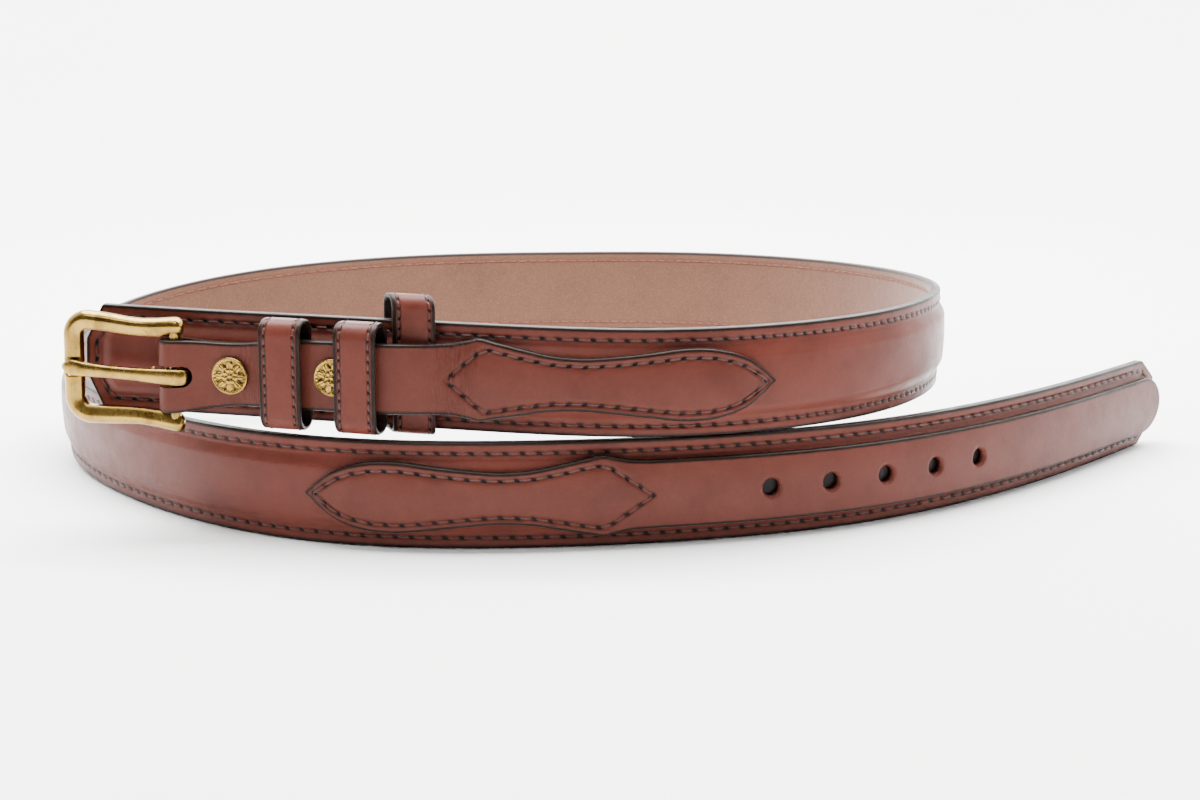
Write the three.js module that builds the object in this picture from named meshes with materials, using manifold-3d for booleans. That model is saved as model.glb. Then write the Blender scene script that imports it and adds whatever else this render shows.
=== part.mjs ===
import * as THREE from "three";
import Module from "manifold-3d";

// Ranger belt standing on edge in a coil: the tip half is the lower turn,
// the buckle half is the upper turn and stands on the lower turn's top edge.
// Millimetres, z up, x to the right along the front run, the floor at z = 0.

// Wide belt
const BELT_WIDTH = 38.1;
const OUTER_LEATHER = 2.0;
const LINING_LEATHER = 1.6;
const PAD_RISE = 2.4;
const PAD_MARGIN = 6.0;
const PAD_SLOPE = 5.0;
const EDGE_ROUND = 0.6;
const BUCKLE_END_CUT_ALONG = 6.0;
const BUCKLE_END_CUT_ACROSS = 13.0;
const TIP_END_CUT_ALONG = 13.0;
const TIP_END_CUT_ACROSS = 9.0;
const END_FADE = 32.0;

// Coil: half of its length and depth, and the gap between the two turns
const COIL_HALF_LENGTH = 240.0;
const COIL_HALF_DEPTH = 120.0;
const TURN_GAP = 0.3;
const LEAD_IN = 17.0;
const LEAD_OUT = 18.0;

// Gaps between pieces
const LAYER_GAP = 0.3;
const PIN_GAP = 0.35;
const SLIDE_GAP = 0.5;

// Narrow straps
const STRAP_WIDTH = 24.6;
const STRAP_LEATHER = 2.6;
const STRAP_CROWN = 0.9;
const OVERLAY_LENGTH = 113.0;
const TIP_STRAP_LENGTH = 403.5;
const TIP_INSET = 4.0;
const TIP_ROUND = 15.0;
const HOLE_DIAMETER = 6.2;
const HOLE_BEVEL = 1.1;
const HOLE_PITCH = 23.5;
const HOLE_COUNT = 5;
const LAST_HOLE_FROM_TIP = 145.5;

// Buckle strap: how far its parts are from the wide belt's end
const OVERLAY_POINT = 251.5;
const LAID_DOWN = 146.0;
const BAR_FROM_END = 37.1;
const RETURN_END = 111.0;
const FOLD_DROOP = 3.2;
const FOLD_LENGTH = 14.0;
const FOLD_FLARE = 0.8;
const FOLD_FLARE_LENGTH = 10.0;
const WAIST_FROM_END = 63.0;
const WAIST_LENGTH = 13.0;
const WAIST_DEPTH = 1.1;

// Buckle
const BAR_DIAMETER = 4.0;
const FRAME_REACH = 41.4;
const FRAME_HEIGHT = 41.2;
const FRAME_FACE = 6.8;
const FRAME_THICKNESS = 4.8;
const FRAME_CORNER = 9.5;
const FRAME_KNOB_REACH = 2.6;
const FRAME_ARM_DIP = 0.9;
const FRAME_LIFT = 1.3;
const NOTCH_DEPTH = 1.1;
const PRONG_WIDTH = 5.8;
const PRONG_THICKNESS = 3.0;
const PRONG_LOOP_WIDTH = 6.2;
const PRONG_LOOP_WALL = 3.2;
const PRONG_TIP_SHORT = 0.6;
const PRONG_NUB = 1.8;
const PRONG_NUB_FROM_BAR = 6.1;
const SLOT_PAST_BAR = 8.0;

// Concho screws
const CONCHO_DIAMETER = 13.2;
const CONCHO_THICKNESS = 1.6;
const CONCHO_RELIEF = 0.45;
const CONCHO_PETALS = 8;
const CONCHO_POST = 4.0;
const CONCHO_BACK_DIAMETER = 9.0;
const CONCHO_BACK_THICKNESS = 0.6;
const CONCHO_1_FROM_END = 59.7;
const CONCHO_2_FROM_END = 98.2;

// Keepers
const KEEPER_LENGTH = 15.2;
const KEEPER_LEATHER = 1.5;
const KEEPER_HEIGHT = 39.2;
const KEEPER_CORNER = 5.5;
const KEEPER_1_FROM_END = 80.1;
const KEEPER_2_FROM_END = 107.8;
const WIDE_KEEPER_FROM_END = 121.4;
const WIDE_KEEPER_LENGTH = 15.6;
const WIDE_KEEPER_RISE = 9.4;
const WIDE_KEEPER_LEATHER = 1.3;
const WIDE_KEEPER_CORNER = 2.4;
const WIDE_KEEPER_TOP_CORNER = 4.8;
const WIDE_KEEPER_SKEW = 7.2;

// The coil's bends as seen from above, from the buckle end to the tip.
// along: share of the coil's half length, back: share of its half depth,
// lift: height of the bottom edge as a share of one turn's height.
const BENDS = [
  { along: -1.09, back: -0.725, lift: 1.25 },
  { along: -0.85, back: -0.63, lift: 1.165 },
  { along: -0.615, back: -0.66, lift: 1.08 },
  { along: -0.385, back: -0.75, lift: 1.06 },
  { along: -0.155, back: -0.86, lift: 1.035 },
  { along: 0.08, back: -0.9, lift: 0.995 },
  { along: 0.31, back: -0.755, lift: 1.0 },
  { along: 0.495, back: -0.475, lift: 1.02 },
  { along: 0.605, back: -0.02, lift: 1.05 },
  { along: 0.555, back: 0.465, lift: 1.04 },
  { along: 0.395, back: 0.815, lift: 1.045 },
  { along: 0.175, back: 1.01, lift: 1.045 },
  { along: -0.06, back: 1.06, lift: 1.02 },
  { along: -0.295, back: 1.06, lift: 1.005 },
  { along: -0.525, back: 1.005, lift: 0.945 },
  { along: -0.76, back: 0.945, lift: 0.785 },
  { along: -0.98, back: 0.77, lift: 0.44 },
  { along: -0.99, back: 0.245, lift: 0.09 },
  { along: -0.87, back: -0.15, lift: 0 },
  { along: -0.71, back: -0.51, lift: 0 },
  { along: -0.525, back: -0.795, lift: 0 },
  { along: -0.305, back: -0.935, lift: 0 },
  { along: -0.06, back: -0.92, lift: 0 },
  { along: 0.175, back: -0.84, lift: 0 },
  { along: 0.395, back: -0.69, lift: 0 },
  { along: 0.59, back: -0.44, lift: 0 },
  { along: 0.77, back: -0.13, lift: 0 },
  { along: 0.935, back: 0.215, lift: 0 },
  { along: 1.09, back: 0.56, lift: 0 },
  { along: 1.235, back: 0.885, lift: 0 },
];

// Outline of the sewn end of a narrow strap.
// from_point: share of the overlay's length, half: share of the half width.
const SCALLOP = [
  { from_point: 0.0, half: 0.04 },
  { from_point: 0.035, half: 0.32 },
  { from_point: 0.09, half: 0.68 },
  { from_point: 0.145, half: 0.89 },
  { from_point: 0.215, half: 1.02 },
  { from_point: 0.3, half: 1.03 },
  { from_point: 0.4, half: 0.92 },
  { from_point: 0.5, half: 0.82 },
  { from_point: 0.6, half: 0.75 },
  { from_point: 0.7, half: 0.8 },
  { from_point: 0.8, half: 0.97 },
  { from_point: 0.87, half: 1.1 },
  { from_point: 0.92, half: 1.19 },
  { from_point: 0.95, half: 1.12 },
  { from_point: 1.0, half: 1.03 },
];

// Spacing of the sections along a strap: shorter where it turns more
const RING_STEP_LEAST = 8.0;
const RING_STEP_MOST = 18.0;
const RING_TURN = 0.13;

const CURVE_STEP = 2.0;
const CURVE_SAMPLES = 1600;
const TURN_HEIGHT = BELT_WIDTH + TURN_GAP;
const MIDDLE = BELT_WIDTH / 2;

// Cubic curve drawn to the bends, sampled by its length
function bendPoint(position) {
  const first = Math.min(Math.floor(position), BENDS.length - 4);
  const x = position - first;
  const weights = [
    (1 - x) ** 3 / 6,
    (3 * x ** 3 - 6 * x ** 2 + 4) / 6,
    (-3 * x ** 3 + 3 * x ** 2 + 3 * x + 1) / 6,
    x ** 3 / 6,
  ];
  const point = new THREE.Vector3();
  weights.forEach((weight, k) => {
    const bend = BENDS[first + k];
    point.x += weight * bend.along * COIL_HALF_LENGTH;
    point.y += weight * bend.back * COIL_HALF_DEPTH;
    point.z += weight * bend.lift * TURN_HEIGHT;
  });
  return point;
}

function sampleRoute() {
  const points = [];
  const lengths = [0];
  for (let i = 0; i <= CURVE_SAMPLES; i += 1) {
    points.push(bendPoint(((BENDS.length - 3) * i) / CURVE_SAMPLES));
    if (i > 0) {
      lengths.push(lengths[i - 1] + points[i].distanceTo(points[i - 1]));
    }
  }
  return { points, lengths };
}

const ROUTE = sampleRoute();
const ROUTE_LENGTH = ROUTE.lengths[ROUTE.lengths.length - 1];
const BELT_LENGTH = ROUTE_LENGTH - LEAD_IN - LEAD_OUT;

function routePoint(length) {
  const { points, lengths } = ROUTE;
  let low = 0;
  let high = lengths.length - 1;
  while (high - low > 1) {
    const middle = (low + high) >> 1;
    if (lengths[middle] <= length) {
      low = middle;
    } else {
      high = middle;
    }
  }
  const share = (length - lengths[low]) / (lengths[high] - lengths[low]);
  return points[low].clone().lerp(points[high], share);
}

// Axes of the belt at a distance from its buckle end: along it, up its width
// and out of its face
function beltAxes(distance) {
  const length = distance + LEAD_IN;
  const origin = routePoint(length);
  const along = routePoint(length + CURVE_STEP).sub(routePoint(length - CURVE_STEP)).normalize();
  const out = new THREE.Vector3(along.y, -along.x, 0).normalize();
  const up = new THREE.Vector3().crossVectors(out, along).normalize();
  return { origin, along, up, out };
}

function place(distance, height, proud) {
  const axes = beltAxes(distance);
  return axes.origin.addScaledVector(axes.up, height).addScaledVector(axes.out, proud);
}

// Matrix of a rigid piece's own axes: x along the belt, y up its width, z out
function beltMatrix(distance, height, proud) {
  const axes = beltAxes(distance);
  const matrix = new THREE.Matrix4().makeBasis(axes.along, axes.up, axes.out);
  return matrix.setPosition(place(distance, height, proud));
}

function signedVolume(points, faces) {
  let volume = 0;
  const cross = new THREE.Vector3();
  for (const [a, b, c] of faces) {
    volume += points[a].dot(cross.crossVectors(points[b], points[c]));
  }
  return volume;
}

function solidGeometry(points, faces) {
  const ordered = signedVolume(points, faces) > 0 ? faces : faces.map(([a, b, c]) => [a, c, b]);
  const geometry = new THREE.BufferGeometry();
  const values = points.flatMap((point) => [point.x, point.y, point.z]);
  geometry.setAttribute("position", new THREE.Float32BufferAttribute(values, 3));
  geometry.setIndex(ordered.flat());
  return geometry;
}

// Closed body through rings of points with the same number in each. The flat
// outline, in the same order as a ring, gives the caps at both ends
function ringSolid(rings, outline) {
  const count = rings[0].length;
  const faces = [];
  for (let i = 0; i + 1 < rings.length; i += 1) {
    for (let k = 0; k < count; k += 1) {
      const next = (k + 1) % count;
      const a = i * count + k;
      const b = i * count + next;
      faces.push([a, b, b + count], [a, b + count, a + count]);
    }
  }
  const last = (rings.length - 1) * count;
  const flat = outline.map(([x, y]) => new THREE.Vector2(x, y));
  for (const triangle of THREE.ShapeUtils.triangulateShape(flat, [])) {
    const [a, b, c] = triangle.sort((p, q) => p - q);
    faces.push([c, b, a], [last + a, last + b, last + c]);
  }
  return solidGeometry(rings.flat(), faces);
}

// Distances along the belt, closer together where it bends more
function stations(from, to) {
  const list = [from];
  let at = from;
  while (at < to) {
    const before = beltAxes(at).along;
    const after = beltAxes(Math.min(at + RING_STEP_LEAST, to)).along;
    const turn = Math.max(before.angleTo(after), 0.001);
    at += THREE.MathUtils.clamp((RING_STEP_LEAST * RING_TURN) / turn, RING_STEP_LEAST, RING_STEP_MOST);
    if (at < to - RING_STEP_LEAST / 2) {
      list.push(at);
    }
  }
  list.push(to);
  return list;
}

// Value of a table's column, in between its rows by their key column
function blend(rows, key, value, at) {
  const next = rows.findIndex((row) => row[key] >= at);
  if (next < 0) {
    return rows[rows.length - 1][value];
  }
  if (next === 0) {
    return rows[0][value];
  }
  const [a, b] = [rows[next - 1], rows[next]];
  return a[value] + ((b[value] - a[value]) * (at - a[key])) / (b[key] - a[key]);
}

// Slope at the padding's edge: in is a share of the slope's width, rise a share
// of the padding's rise
const PAD_EDGE = [
  { in: 0, rise: 0 },
  { in: 0.4, rise: 0.55 },
  { in: 1, rise: 0.88 },
];

// Section of the padded face: height up the width, and how proud it is
const PAD_HALF = MIDDLE - PAD_MARGIN;
const LOWER_FACE = [
  [-MIDDLE + EDGE_ROUND, 0],
  ...PAD_EDGE.map((row) => [-PAD_HALF + row.in * PAD_SLOPE, row.rise * PAD_RISE]),
];
const FACE_SECTION = [
  ...LOWER_FACE,
  [0, PAD_RISE],
  ...LOWER_FACE.map(([height, proud]) => [-height, proud]).reverse(),
];

// How much a clipped corner takes off the belt's end at a height
function endCut(height, along, across) {
  const fromEdge = MIDDLE - Math.abs(height);
  return along * Math.max(0, 1 - fromEdge / across);
}

// The padding starts inside the seam at each end of the belt
function padShare(fromEnd) {
  const into = (fromEnd - PAD_MARGIN) / PAD_SLOPE;
  return blend(PAD_EDGE, "in", "rise", into) / PAD_EDGE[PAD_EDGE.length - 1].rise;
}

function beltLayer(section) {
  const nearEnd = [0, ...PAD_EDGE.map((row) => PAD_MARGIN + row.in * PAD_SLOPE)];
  const list = [
    ...nearEnd,
    ...stations(END_FADE, BELT_LENGTH - END_FADE),
    ...nearEnd.map((distance) => BELT_LENGTH - distance).reverse(),
  ];
  const rings = list.map((distance) => section.map(([height, proud]) => {
    const toTip = BELT_LENGTH - distance;
    const startCut = endCut(height, BUCKLE_END_CUT_ALONG, BUCKLE_END_CUT_ACROSS);
    const tipCut = endCut(height, TIP_END_CUT_ALONG, TIP_END_CUT_ACROSS);
    const shift = startCut * Math.max(0, 1 - distance / END_FADE) - tipCut * Math.max(0, 1 - toTip / END_FADE);
    const share = proud > 0 ? padShare(Math.min(distance, toTip)) : 1;
    return place(distance + shift, MIDDLE + height, proud * share);
  }));
  return ringSolid(rings, section);
}

function outerSection() {
  return [
    [-MIDDLE, -OUTER_LEATHER],
    [-MIDDLE, -EDGE_ROUND],
    ...FACE_SECTION,
    [MIDDLE, -EDGE_ROUND],
    [MIDDLE, -OUTER_LEATHER],
    [MIDDLE - TIP_END_CUT_ACROSS, -OUTER_LEATHER],
    [MIDDLE - BUCKLE_END_CUT_ACROSS, -OUTER_LEATHER],
    [-MIDDLE + BUCKLE_END_CUT_ACROSS, -OUTER_LEATHER],
    [-MIDDLE + TIP_END_CUT_ACROSS, -OUTER_LEATHER],
  ];
}

function liningSection() {
  const face = -OUTER_LEATHER - LAYER_GAP;
  const back = face - LINING_LEATHER;
  const knees = [BUCKLE_END_CUT_ACROSS, TIP_END_CUT_ACROSS].map((across) => MIDDLE - across);
  return [
    [-MIDDLE, face],
    [-knees[1], face],
    [-knees[0], face],
    [knees[0], face],
    [knees[1], face],
    [MIDDLE, face],
    [MIDDLE, back + EDGE_ROUND],
    [MIDDLE - EDGE_ROUND, back],
    [knees[1], back],
    [knees[0], back],
    [-knees[0], back],
    [-knees[1], back],
    [-MIDDLE + EDGE_ROUND, back],
    [-MIDDLE, back + EDGE_ROUND],
  ];
}

// Section of a narrow strap: side is a share of the half width, level runs
// from its back (0) to its face (1)
const STRAP_SECTION = [
  { side: -1, level: 0 },
  { side: -1, level: 0.72 },
  { side: -0.95, level: 1 },
  { side: -0.6, level: 1 },
  { side: 0, level: 1 },
  { side: 0.6, level: 1 },
  { side: 0.95, level: 1 },
  { side: 1, level: 0.72 },
  { side: 1, level: 0 },
  { side: 0.6, level: 0 },
  { side: 0, level: 0 },
  { side: -0.6, level: 0 },
];

const STRAP_SEAT = PAD_RISE + LAYER_GAP;
const STRAP_HALF = STRAP_WIDTH / 2;

// One ring across a narrow strap. The back of the strap is at the given
// distance and height off the belt, leaning by the given angle; its edges
// drop by the crown where it lies on the pad
function strapRing({ distance, proud, lean = 0, centre, half, crown }) {
  return STRAP_SECTION.map(({ side, level }) => {
    const across = side * half;
    const drop = crown * (across / STRAP_HALF) ** 2;
    const rise = level * STRAP_LEATHER;
    return place(
      distance - Math.sin(lean) * rise,
      centre + across,
      proud - drop + Math.cos(lean) * rise,
    );
  });
}

function strapOutline(half) {
  return STRAP_SECTION.map(({ side, level }) => [side * half, level * STRAP_LEATHER]);
}

function scallopHalf(fromPoint) {
  const share = fromPoint / OVERLAY_LENGTH;
  const next = SCALLOP.findIndex((row) => row.from_point >= share);
  if (next < 0) {
    return STRAP_HALF;
  }
  if (next === 0) {
    return SCALLOP[0].half * STRAP_HALF;
  }
  const [a, b] = [SCALLOP[next - 1], SCALLOP[next]];
  const mix = (share - a.from_point) / (b.from_point - a.from_point);
  return (a.half + (b.half - a.half) * mix) * STRAP_HALF;
}

const manifold = await Module();
manifold.setup();

function toManifold(geometry) {
  const mesh = new manifold.Mesh({
    numProp: 3,
    vertProperties: new Float32Array(geometry.attributes.position.array),
    triVerts: new Uint32Array(geometry.index.array),
  });
  mesh.merge();
  return new manifold.Manifold(mesh);
}

function fromManifold(solid) {
  const mesh = solid.getMesh();
  const points = [];
  for (let i = 0; i < mesh.numVert; i += 1) {
    points.push(new THREE.Vector3(...mesh.vertProperties.slice(i * mesh.numProp, i * mesh.numProp + 3)));
  }
  const faces = [];
  for (let i = 0; i < mesh.numTri; i += 1) {
    faces.push([...mesh.triVerts.slice(i * 3, i * 3 + 3)]);
  }
  return solidGeometry(points, faces);
}

// Round cutter or post standing out of the belt's face
function standingCylinder(radius, low, high, matrix, sides) {
  const cylinder = manifold.Manifold.cylinder(high - low, radius, radius, sides);
  return cylinder.translate([0, 0, low]).transform(matrix.elements);
}

// Hole cutter for a layer between 0 and its thickness, wider at the face
function bevelledCutter(radius, thickness, bevel, matrix, sides) {
  const hole = standingCylinder(radius, -thickness, 2 * thickness, matrix, sides);
  const rim = manifold.Manifold.cylinder(2 * bevel, radius, radius + 2 * bevel, sides);
  return hole.add(rim.translate([0, 0, thickness - bevel]).transform(matrix.elements));
}

function cutHoles(geometry, cutters) {
  let solid = toManifold(geometry);
  for (const cutter of cutters) {
    solid = solid.subtract(cutter);
  }
  return fromManifold(solid);
}

// Rounded free end of the tip strap: share of the rounded length at each ring
const TIP_RINGS = [0.3, 0.58, 0.8, 0.93, 0.985];
const TIP_FULLNESS = 2.4;

// Tip strap: sewn, scalloped start, bevelled holes, rounded free tip
const TIP_STRAP_START = BELT_LENGTH - TIP_INSET - TIP_STRAP_LENGTH;

function tipStrap() {
  const end = TIP_STRAP_START + TIP_STRAP_LENGTH;
  const scallops = SCALLOP.map((row) => TIP_STRAP_START + row.from_point * OVERLAY_LENGTH);
  const straight = stations(scallops[scallops.length - 1], end - TIP_ROUND).slice(1);
  const round = TIP_RINGS.map((share) => end - TIP_ROUND * (1 - share));
  const rings = [...scallops, ...straight, ...round].map((distance) => {
    const past = Math.max(0, (distance - end + TIP_ROUND) / TIP_ROUND);
    const half = scallopHalf(distance - TIP_STRAP_START) * Math.sqrt(1 - past ** TIP_FULLNESS);
    return strapRing({ distance, proud: STRAP_SEAT, centre: MIDDLE, half, crown: STRAP_CROWN });
  });
  const strap = ringSolid(rings, strapOutline(1));
  const cutters = [];
  for (let k = 0; k < HOLE_COUNT; k += 1) {
    const distance = end - LAST_HOLE_FROM_TIP - k * HOLE_PITCH;
    const matrix = beltMatrix(distance, MIDDLE, STRAP_SEAT);
    cutters.push(bevelledCutter(HOLE_DIAMETER / 2, STRAP_LEATHER, HOLE_BEVEL, matrix, 20));
  }
  return cutHoles(strap, cutters);
}

// What lies between the pad and the strap's two layers: the wide keeper, the
// narrow keepers, then the backs of the conchos
const WIDE_KEEPER_FRONT = STRAP_SEAT + WIDE_KEEPER_LEATHER;
const KEEPER_LOW = WIDE_KEEPER_FRONT + LAYER_GAP;
const BACK_LAYER_HEIGHT = KEEPER_LOW + KEEPER_LEATHER + CONCHO_BACK_THICKNESS + 2 * LAYER_GAP;
const KEEPER_ON_STRAP = BACK_LAYER_HEIGHT - LAYER_GAP - KEEPER_LEATHER;
const FRONT_LAYER_HEIGHT = BACK_LAYER_HEIGHT + STRAP_LEATHER + LAYER_GAP;
const KEEPER_HIGH = FRONT_LAYER_HEIGHT + 2 * (STRAP_LEATHER + SLIDE_GAP) + KEEPER_LEATHER;

// Buckle strap: front layer, fold round the heel bar, back layer
const BAR_RADIUS = BAR_DIAMETER / 2;
const FOLD_RADIUS = BAR_RADIUS + PIN_GAP;
const FOLD_STEPS = 8;
const BAR_HEIGHT = FRONT_LAYER_HEIGHT - LAYER_GAP / 2;
const FOLD_JOIN = BAR_FROM_END + FOLD_LENGTH;
const STRAP_DROOP = [
  { from_end: BAR_FROM_END, droop: 1 },
  { from_end: FOLD_JOIN, droop: 0.65 },
  { from_end: CONCHO_1_FROM_END, droop: 0.45 },
  { from_end: KEEPER_1_FROM_END, droop: 0.1 },
  { from_end: CONCHO_2_FROM_END, droop: 0 },
];

function strapCentre(distance) {
  return MIDDLE - FOLD_DROOP * blend(STRAP_DROOP, "from_end", "droop", distance);
}

// The strap is waisted behind the buckle and flares out to fill the buckle
function strapHalf(distance) {
  const waist = Math.exp(-(((distance - WAIST_FROM_END) / WAIST_LENGTH) ** 2));
  const flare = Math.exp(-(((distance - BAR_FROM_END) / FOLD_FLARE_LENGTH) ** 2));
  return STRAP_HALF - WAIST_DEPTH * waist + FOLD_FLARE * flare;
}

// The front layer comes down from the back layer's end on to the pad
function frontLayerRing(distance) {
  const fromPoint = OVERLAY_POINT - distance;
  const down = THREE.MathUtils.smoothstep(distance, RETURN_END + LAYER_GAP, LAID_DOWN);
  return strapRing({
    distance,
    proud: THREE.MathUtils.lerp(FRONT_LAYER_HEIGHT, STRAP_SEAT, down),
    centre: strapCentre(distance),
    half: fromPoint < OVERLAY_LENGTH ? scallopHalf(fromPoint) : strapHalf(distance),
    crown: STRAP_CROWN * down ** 3,
  });
}

// Ring of the fold: angle 0 is the front layer, half a turn later the back
function foldRing(angle) {
  return strapRing({
    distance: BAR_FROM_END - Math.sin(angle) * FOLD_RADIUS,
    proud: BAR_HEIGHT + Math.cos(angle) * FOLD_RADIUS,
    lean: angle,
    centre: strapCentre(BAR_FROM_END),
    half: strapHalf(BAR_FROM_END),
    crown: 0,
  });
}

function backLayerRing(distance) {
  return strapRing({
    distance,
    proud: BACK_LAYER_HEIGHT + STRAP_LEATHER,
    lean: Math.PI,
    centre: strapCentre(distance),
    half: strapHalf(distance) - LAYER_GAP / 2,
    crown: 0,
  });
}

function evenSteps(from, to, step) {
  const count = Math.max(1, Math.round(Math.abs(to - from) / step));
  return Array.from({ length: count + 1 }, (_, k) => from + ((to - from) * k) / count);
}

function buckleStrap() {
  const rings = SCALLOP.map((row) => frontLayerRing(OVERLAY_POINT - row.from_point * OVERLAY_LENGTH));
  const overlayEnd = OVERLAY_POINT - OVERLAY_LENGTH;
  const falling = evenSteps(overlayEnd, RETURN_END, RING_STEP_LEAST / 2).slice(1);
  const level = evenSteps(RETURN_END, FOLD_JOIN, RING_STEP_LEAST).slice(1);
  rings.push(...[...falling, ...level].map(frontLayerRing));
  for (let k = 0; k <= FOLD_STEPS; k += 1) {
    rings.push(foldRing((Math.PI * k) / FOLD_STEPS));
  }
  rings.push(...evenSteps(FOLD_JOIN, RETURN_END, RING_STEP_LEAST).map(backLayerRing));
  const strap = ringSolid(rings, strapOutline(1));
  const slotStart = -(FOLD_RADIUS + STRAP_LEATHER + SLIDE_GAP);
  const slotLength = SLOT_PAST_BAR - slotStart;
  const slotHeight = 4 * (FOLD_RADIUS + STRAP_LEATHER);
  const slot = manifold.Manifold.cube([slotLength, PRONG_LOOP_WIDTH + 2 * SLIDE_GAP, slotHeight], true)
    .translate([slotStart + slotLength / 2, 0, 0])
    .transform(buckleMatrix().elements);
  const cutters = [slot];
  for (const distance of [CONCHO_1_FROM_END, CONCHO_2_FROM_END]) {
    const matrix = beltMatrix(distance, strapCentre(distance), BAR_HEIGHT);
    const reach = 2 * STRAP_LEATHER;
    cutters.push(standingCylinder(CONCHO_POST / 2 + PIN_GAP, -reach, reach, matrix, 16));
  }
  return cutHoles(strap, cutters);
}

// Ring of a metal bar: outline points across the bar, x outward in the
// buckle's plane and z out of the belt
const FRAME_OUTLINE = [
  [-0.5, -0.38],
  [-0.5, 0.1],
  [-0.42, 0.3],
  [0.0, 0.5],
  [0.28, 0.4],
  [0.44, 0.14],
  [0.5, -0.16],
  [0.43, -0.42],
  [0.22, -0.5],
  [-0.4, -0.5],
];

// Arm of the frame from its knob to the corner. along: share of its length,
// dip: share of the arm's dip, size: share of the bar's section
const ARM_SHAPE = [
  { along: 0, dip: -0.3, size: 0.5 },
  { along: 0.03, dip: -0.3, size: 0.84 },
  { along: 0.08, dip: -0.2, size: 1 },
  { along: 0.16, dip: 0.1, size: 1 },
  { along: 0.28, dip: 0.6, size: 0.95 },
  { along: 0.45, dip: 1, size: 0.92 },
  { along: 0.62, dip: 0.8, size: 0.94 },
  { along: 0.8, dip: 0.3, size: 0.97 },
  { along: 1, dip: 0, size: 1 },
];
const CORNER_STEPS = 5;

function frameLift(x) {
  return (-FRAME_LIFT * x) / FRAME_REACH;
}

// Middle line of the frame from the top knob round the front bar to the
// bottom knob; local x runs along the belt, so the frame is on the left. It
// rises evenly from the heel bar to the front bar
function frameLine() {
  const half = (FRAME_HEIGHT - FRAME_FACE) / 2;
  const corner = FRAME_CORNER - FRAME_FACE / 2;
  const front = -(FRAME_REACH - FRAME_FACE / 2);
  const arm = ARM_SHAPE.map((row) => ({
    x: FRAME_KNOB_REACH + row.along * (front + corner - FRAME_KNOB_REACH),
    y: half - row.dip * FRAME_ARM_DIP,
    angle: 0,
    size: row.size,
  }));
  const turn = [];
  for (let k = 1; k < CORNER_STEPS; k += 1) {
    const angle = (Math.PI / 2) * (k / CORNER_STEPS);
    turn.push({
      x: front + corner - Math.sin(angle) * corner,
      y: half - corner + Math.cos(angle) * corner,
      angle,
      size: 1,
    });
  }
  const upper = [...arm, ...turn, { x: front, y: half - corner, angle: Math.PI / 2, size: 1 }];
  const lower = upper.map((row) => ({ ...row, y: -row.y, angle: Math.PI - row.angle })).reverse();
  return [...upper, ...lower].map((row) => ({ ...row, y: row.y + frameLift(row.x) }));
}

function localRing(outline, row, width, thickness) {
  const outward = [-Math.sin(row.angle), Math.cos(row.angle)];
  return outline.map(([side, level]) => new THREE.Vector3(
    row.x + outward[0] * side * width * row.size,
    row.y + outward[1] * side * width * row.size,
    level * thickness * row.size,
  ));
}

function buckleMatrix() {
  return beltMatrix(BAR_FROM_END, strapCentre(BAR_FROM_END), BAR_HEIGHT);
}

function buckleFrame() {
  const rings = frameLine().map((row) => localRing(FRAME_OUTLINE, row, FRAME_FACE, FRAME_THICKNESS));
  const bent = toManifold(ringSolid(rings, FRAME_OUTLINE));
  const span = FRAME_HEIGHT - FRAME_FACE;
  const bar = manifold.Manifold.cylinder(span, BAR_RADIUS, BAR_RADIUS, 20, true).rotate([90, 0, 0]);
  const notchWidth = PRONG_WIDTH + 2 * SLIDE_GAP;
  const front = -FRAME_REACH + FRAME_FACE / 2;
  const notch = manifold.Manifold.cube([FRAME_FACE * 2, notchWidth, NOTCH_DEPTH * 2], true)
    .translate([front, frameLift(front), FRAME_THICKNESS / 2]);
  return fromManifold(bent.add(bar).subtract(notch).transform(buckleMatrix().elements));
}

const PRONG_OUTLINE = [
  [-0.5, -0.5],
  [-0.5, 0.15],
  [-0.3, 0.5],
  [0.3, 0.5],
  [0.5, 0.15],
  [0.5, -0.5],
];

// Prong's arm from its loop to the tip. reach: share of the way from the heel
// bar to the tip, dip: share of the drop into the notch, width and thick:
// shares of the prong's own
const PRONG_SHAPE = [
  { reach: -0.075, dip: 0, width: 0.96, thick: 0.8 },
  { reach: 0, dip: 0, width: 1, thick: 0.92 },
  { reach: 0.12, dip: 0, width: 0.92, thick: 1 },
  { reach: 0.3, dip: 0, width: 0.8, thick: 1 },
  { reach: 0.55, dip: 0, width: 0.76, thick: 1 },
  { reach: 0.76, dip: 0.1, width: 0.86, thick: 1 },
  { reach: 0.86, dip: 0.7, width: 0.97, thick: 1.02 },
  { reach: 0.92, dip: 1, width: 0.95, thick: 0.98 },
  { reach: 0.965, dip: 1, width: 0.7, thick: 0.8 },
  { reach: 1, dip: 1, width: 0.25, thick: 0.45 },
];

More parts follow.
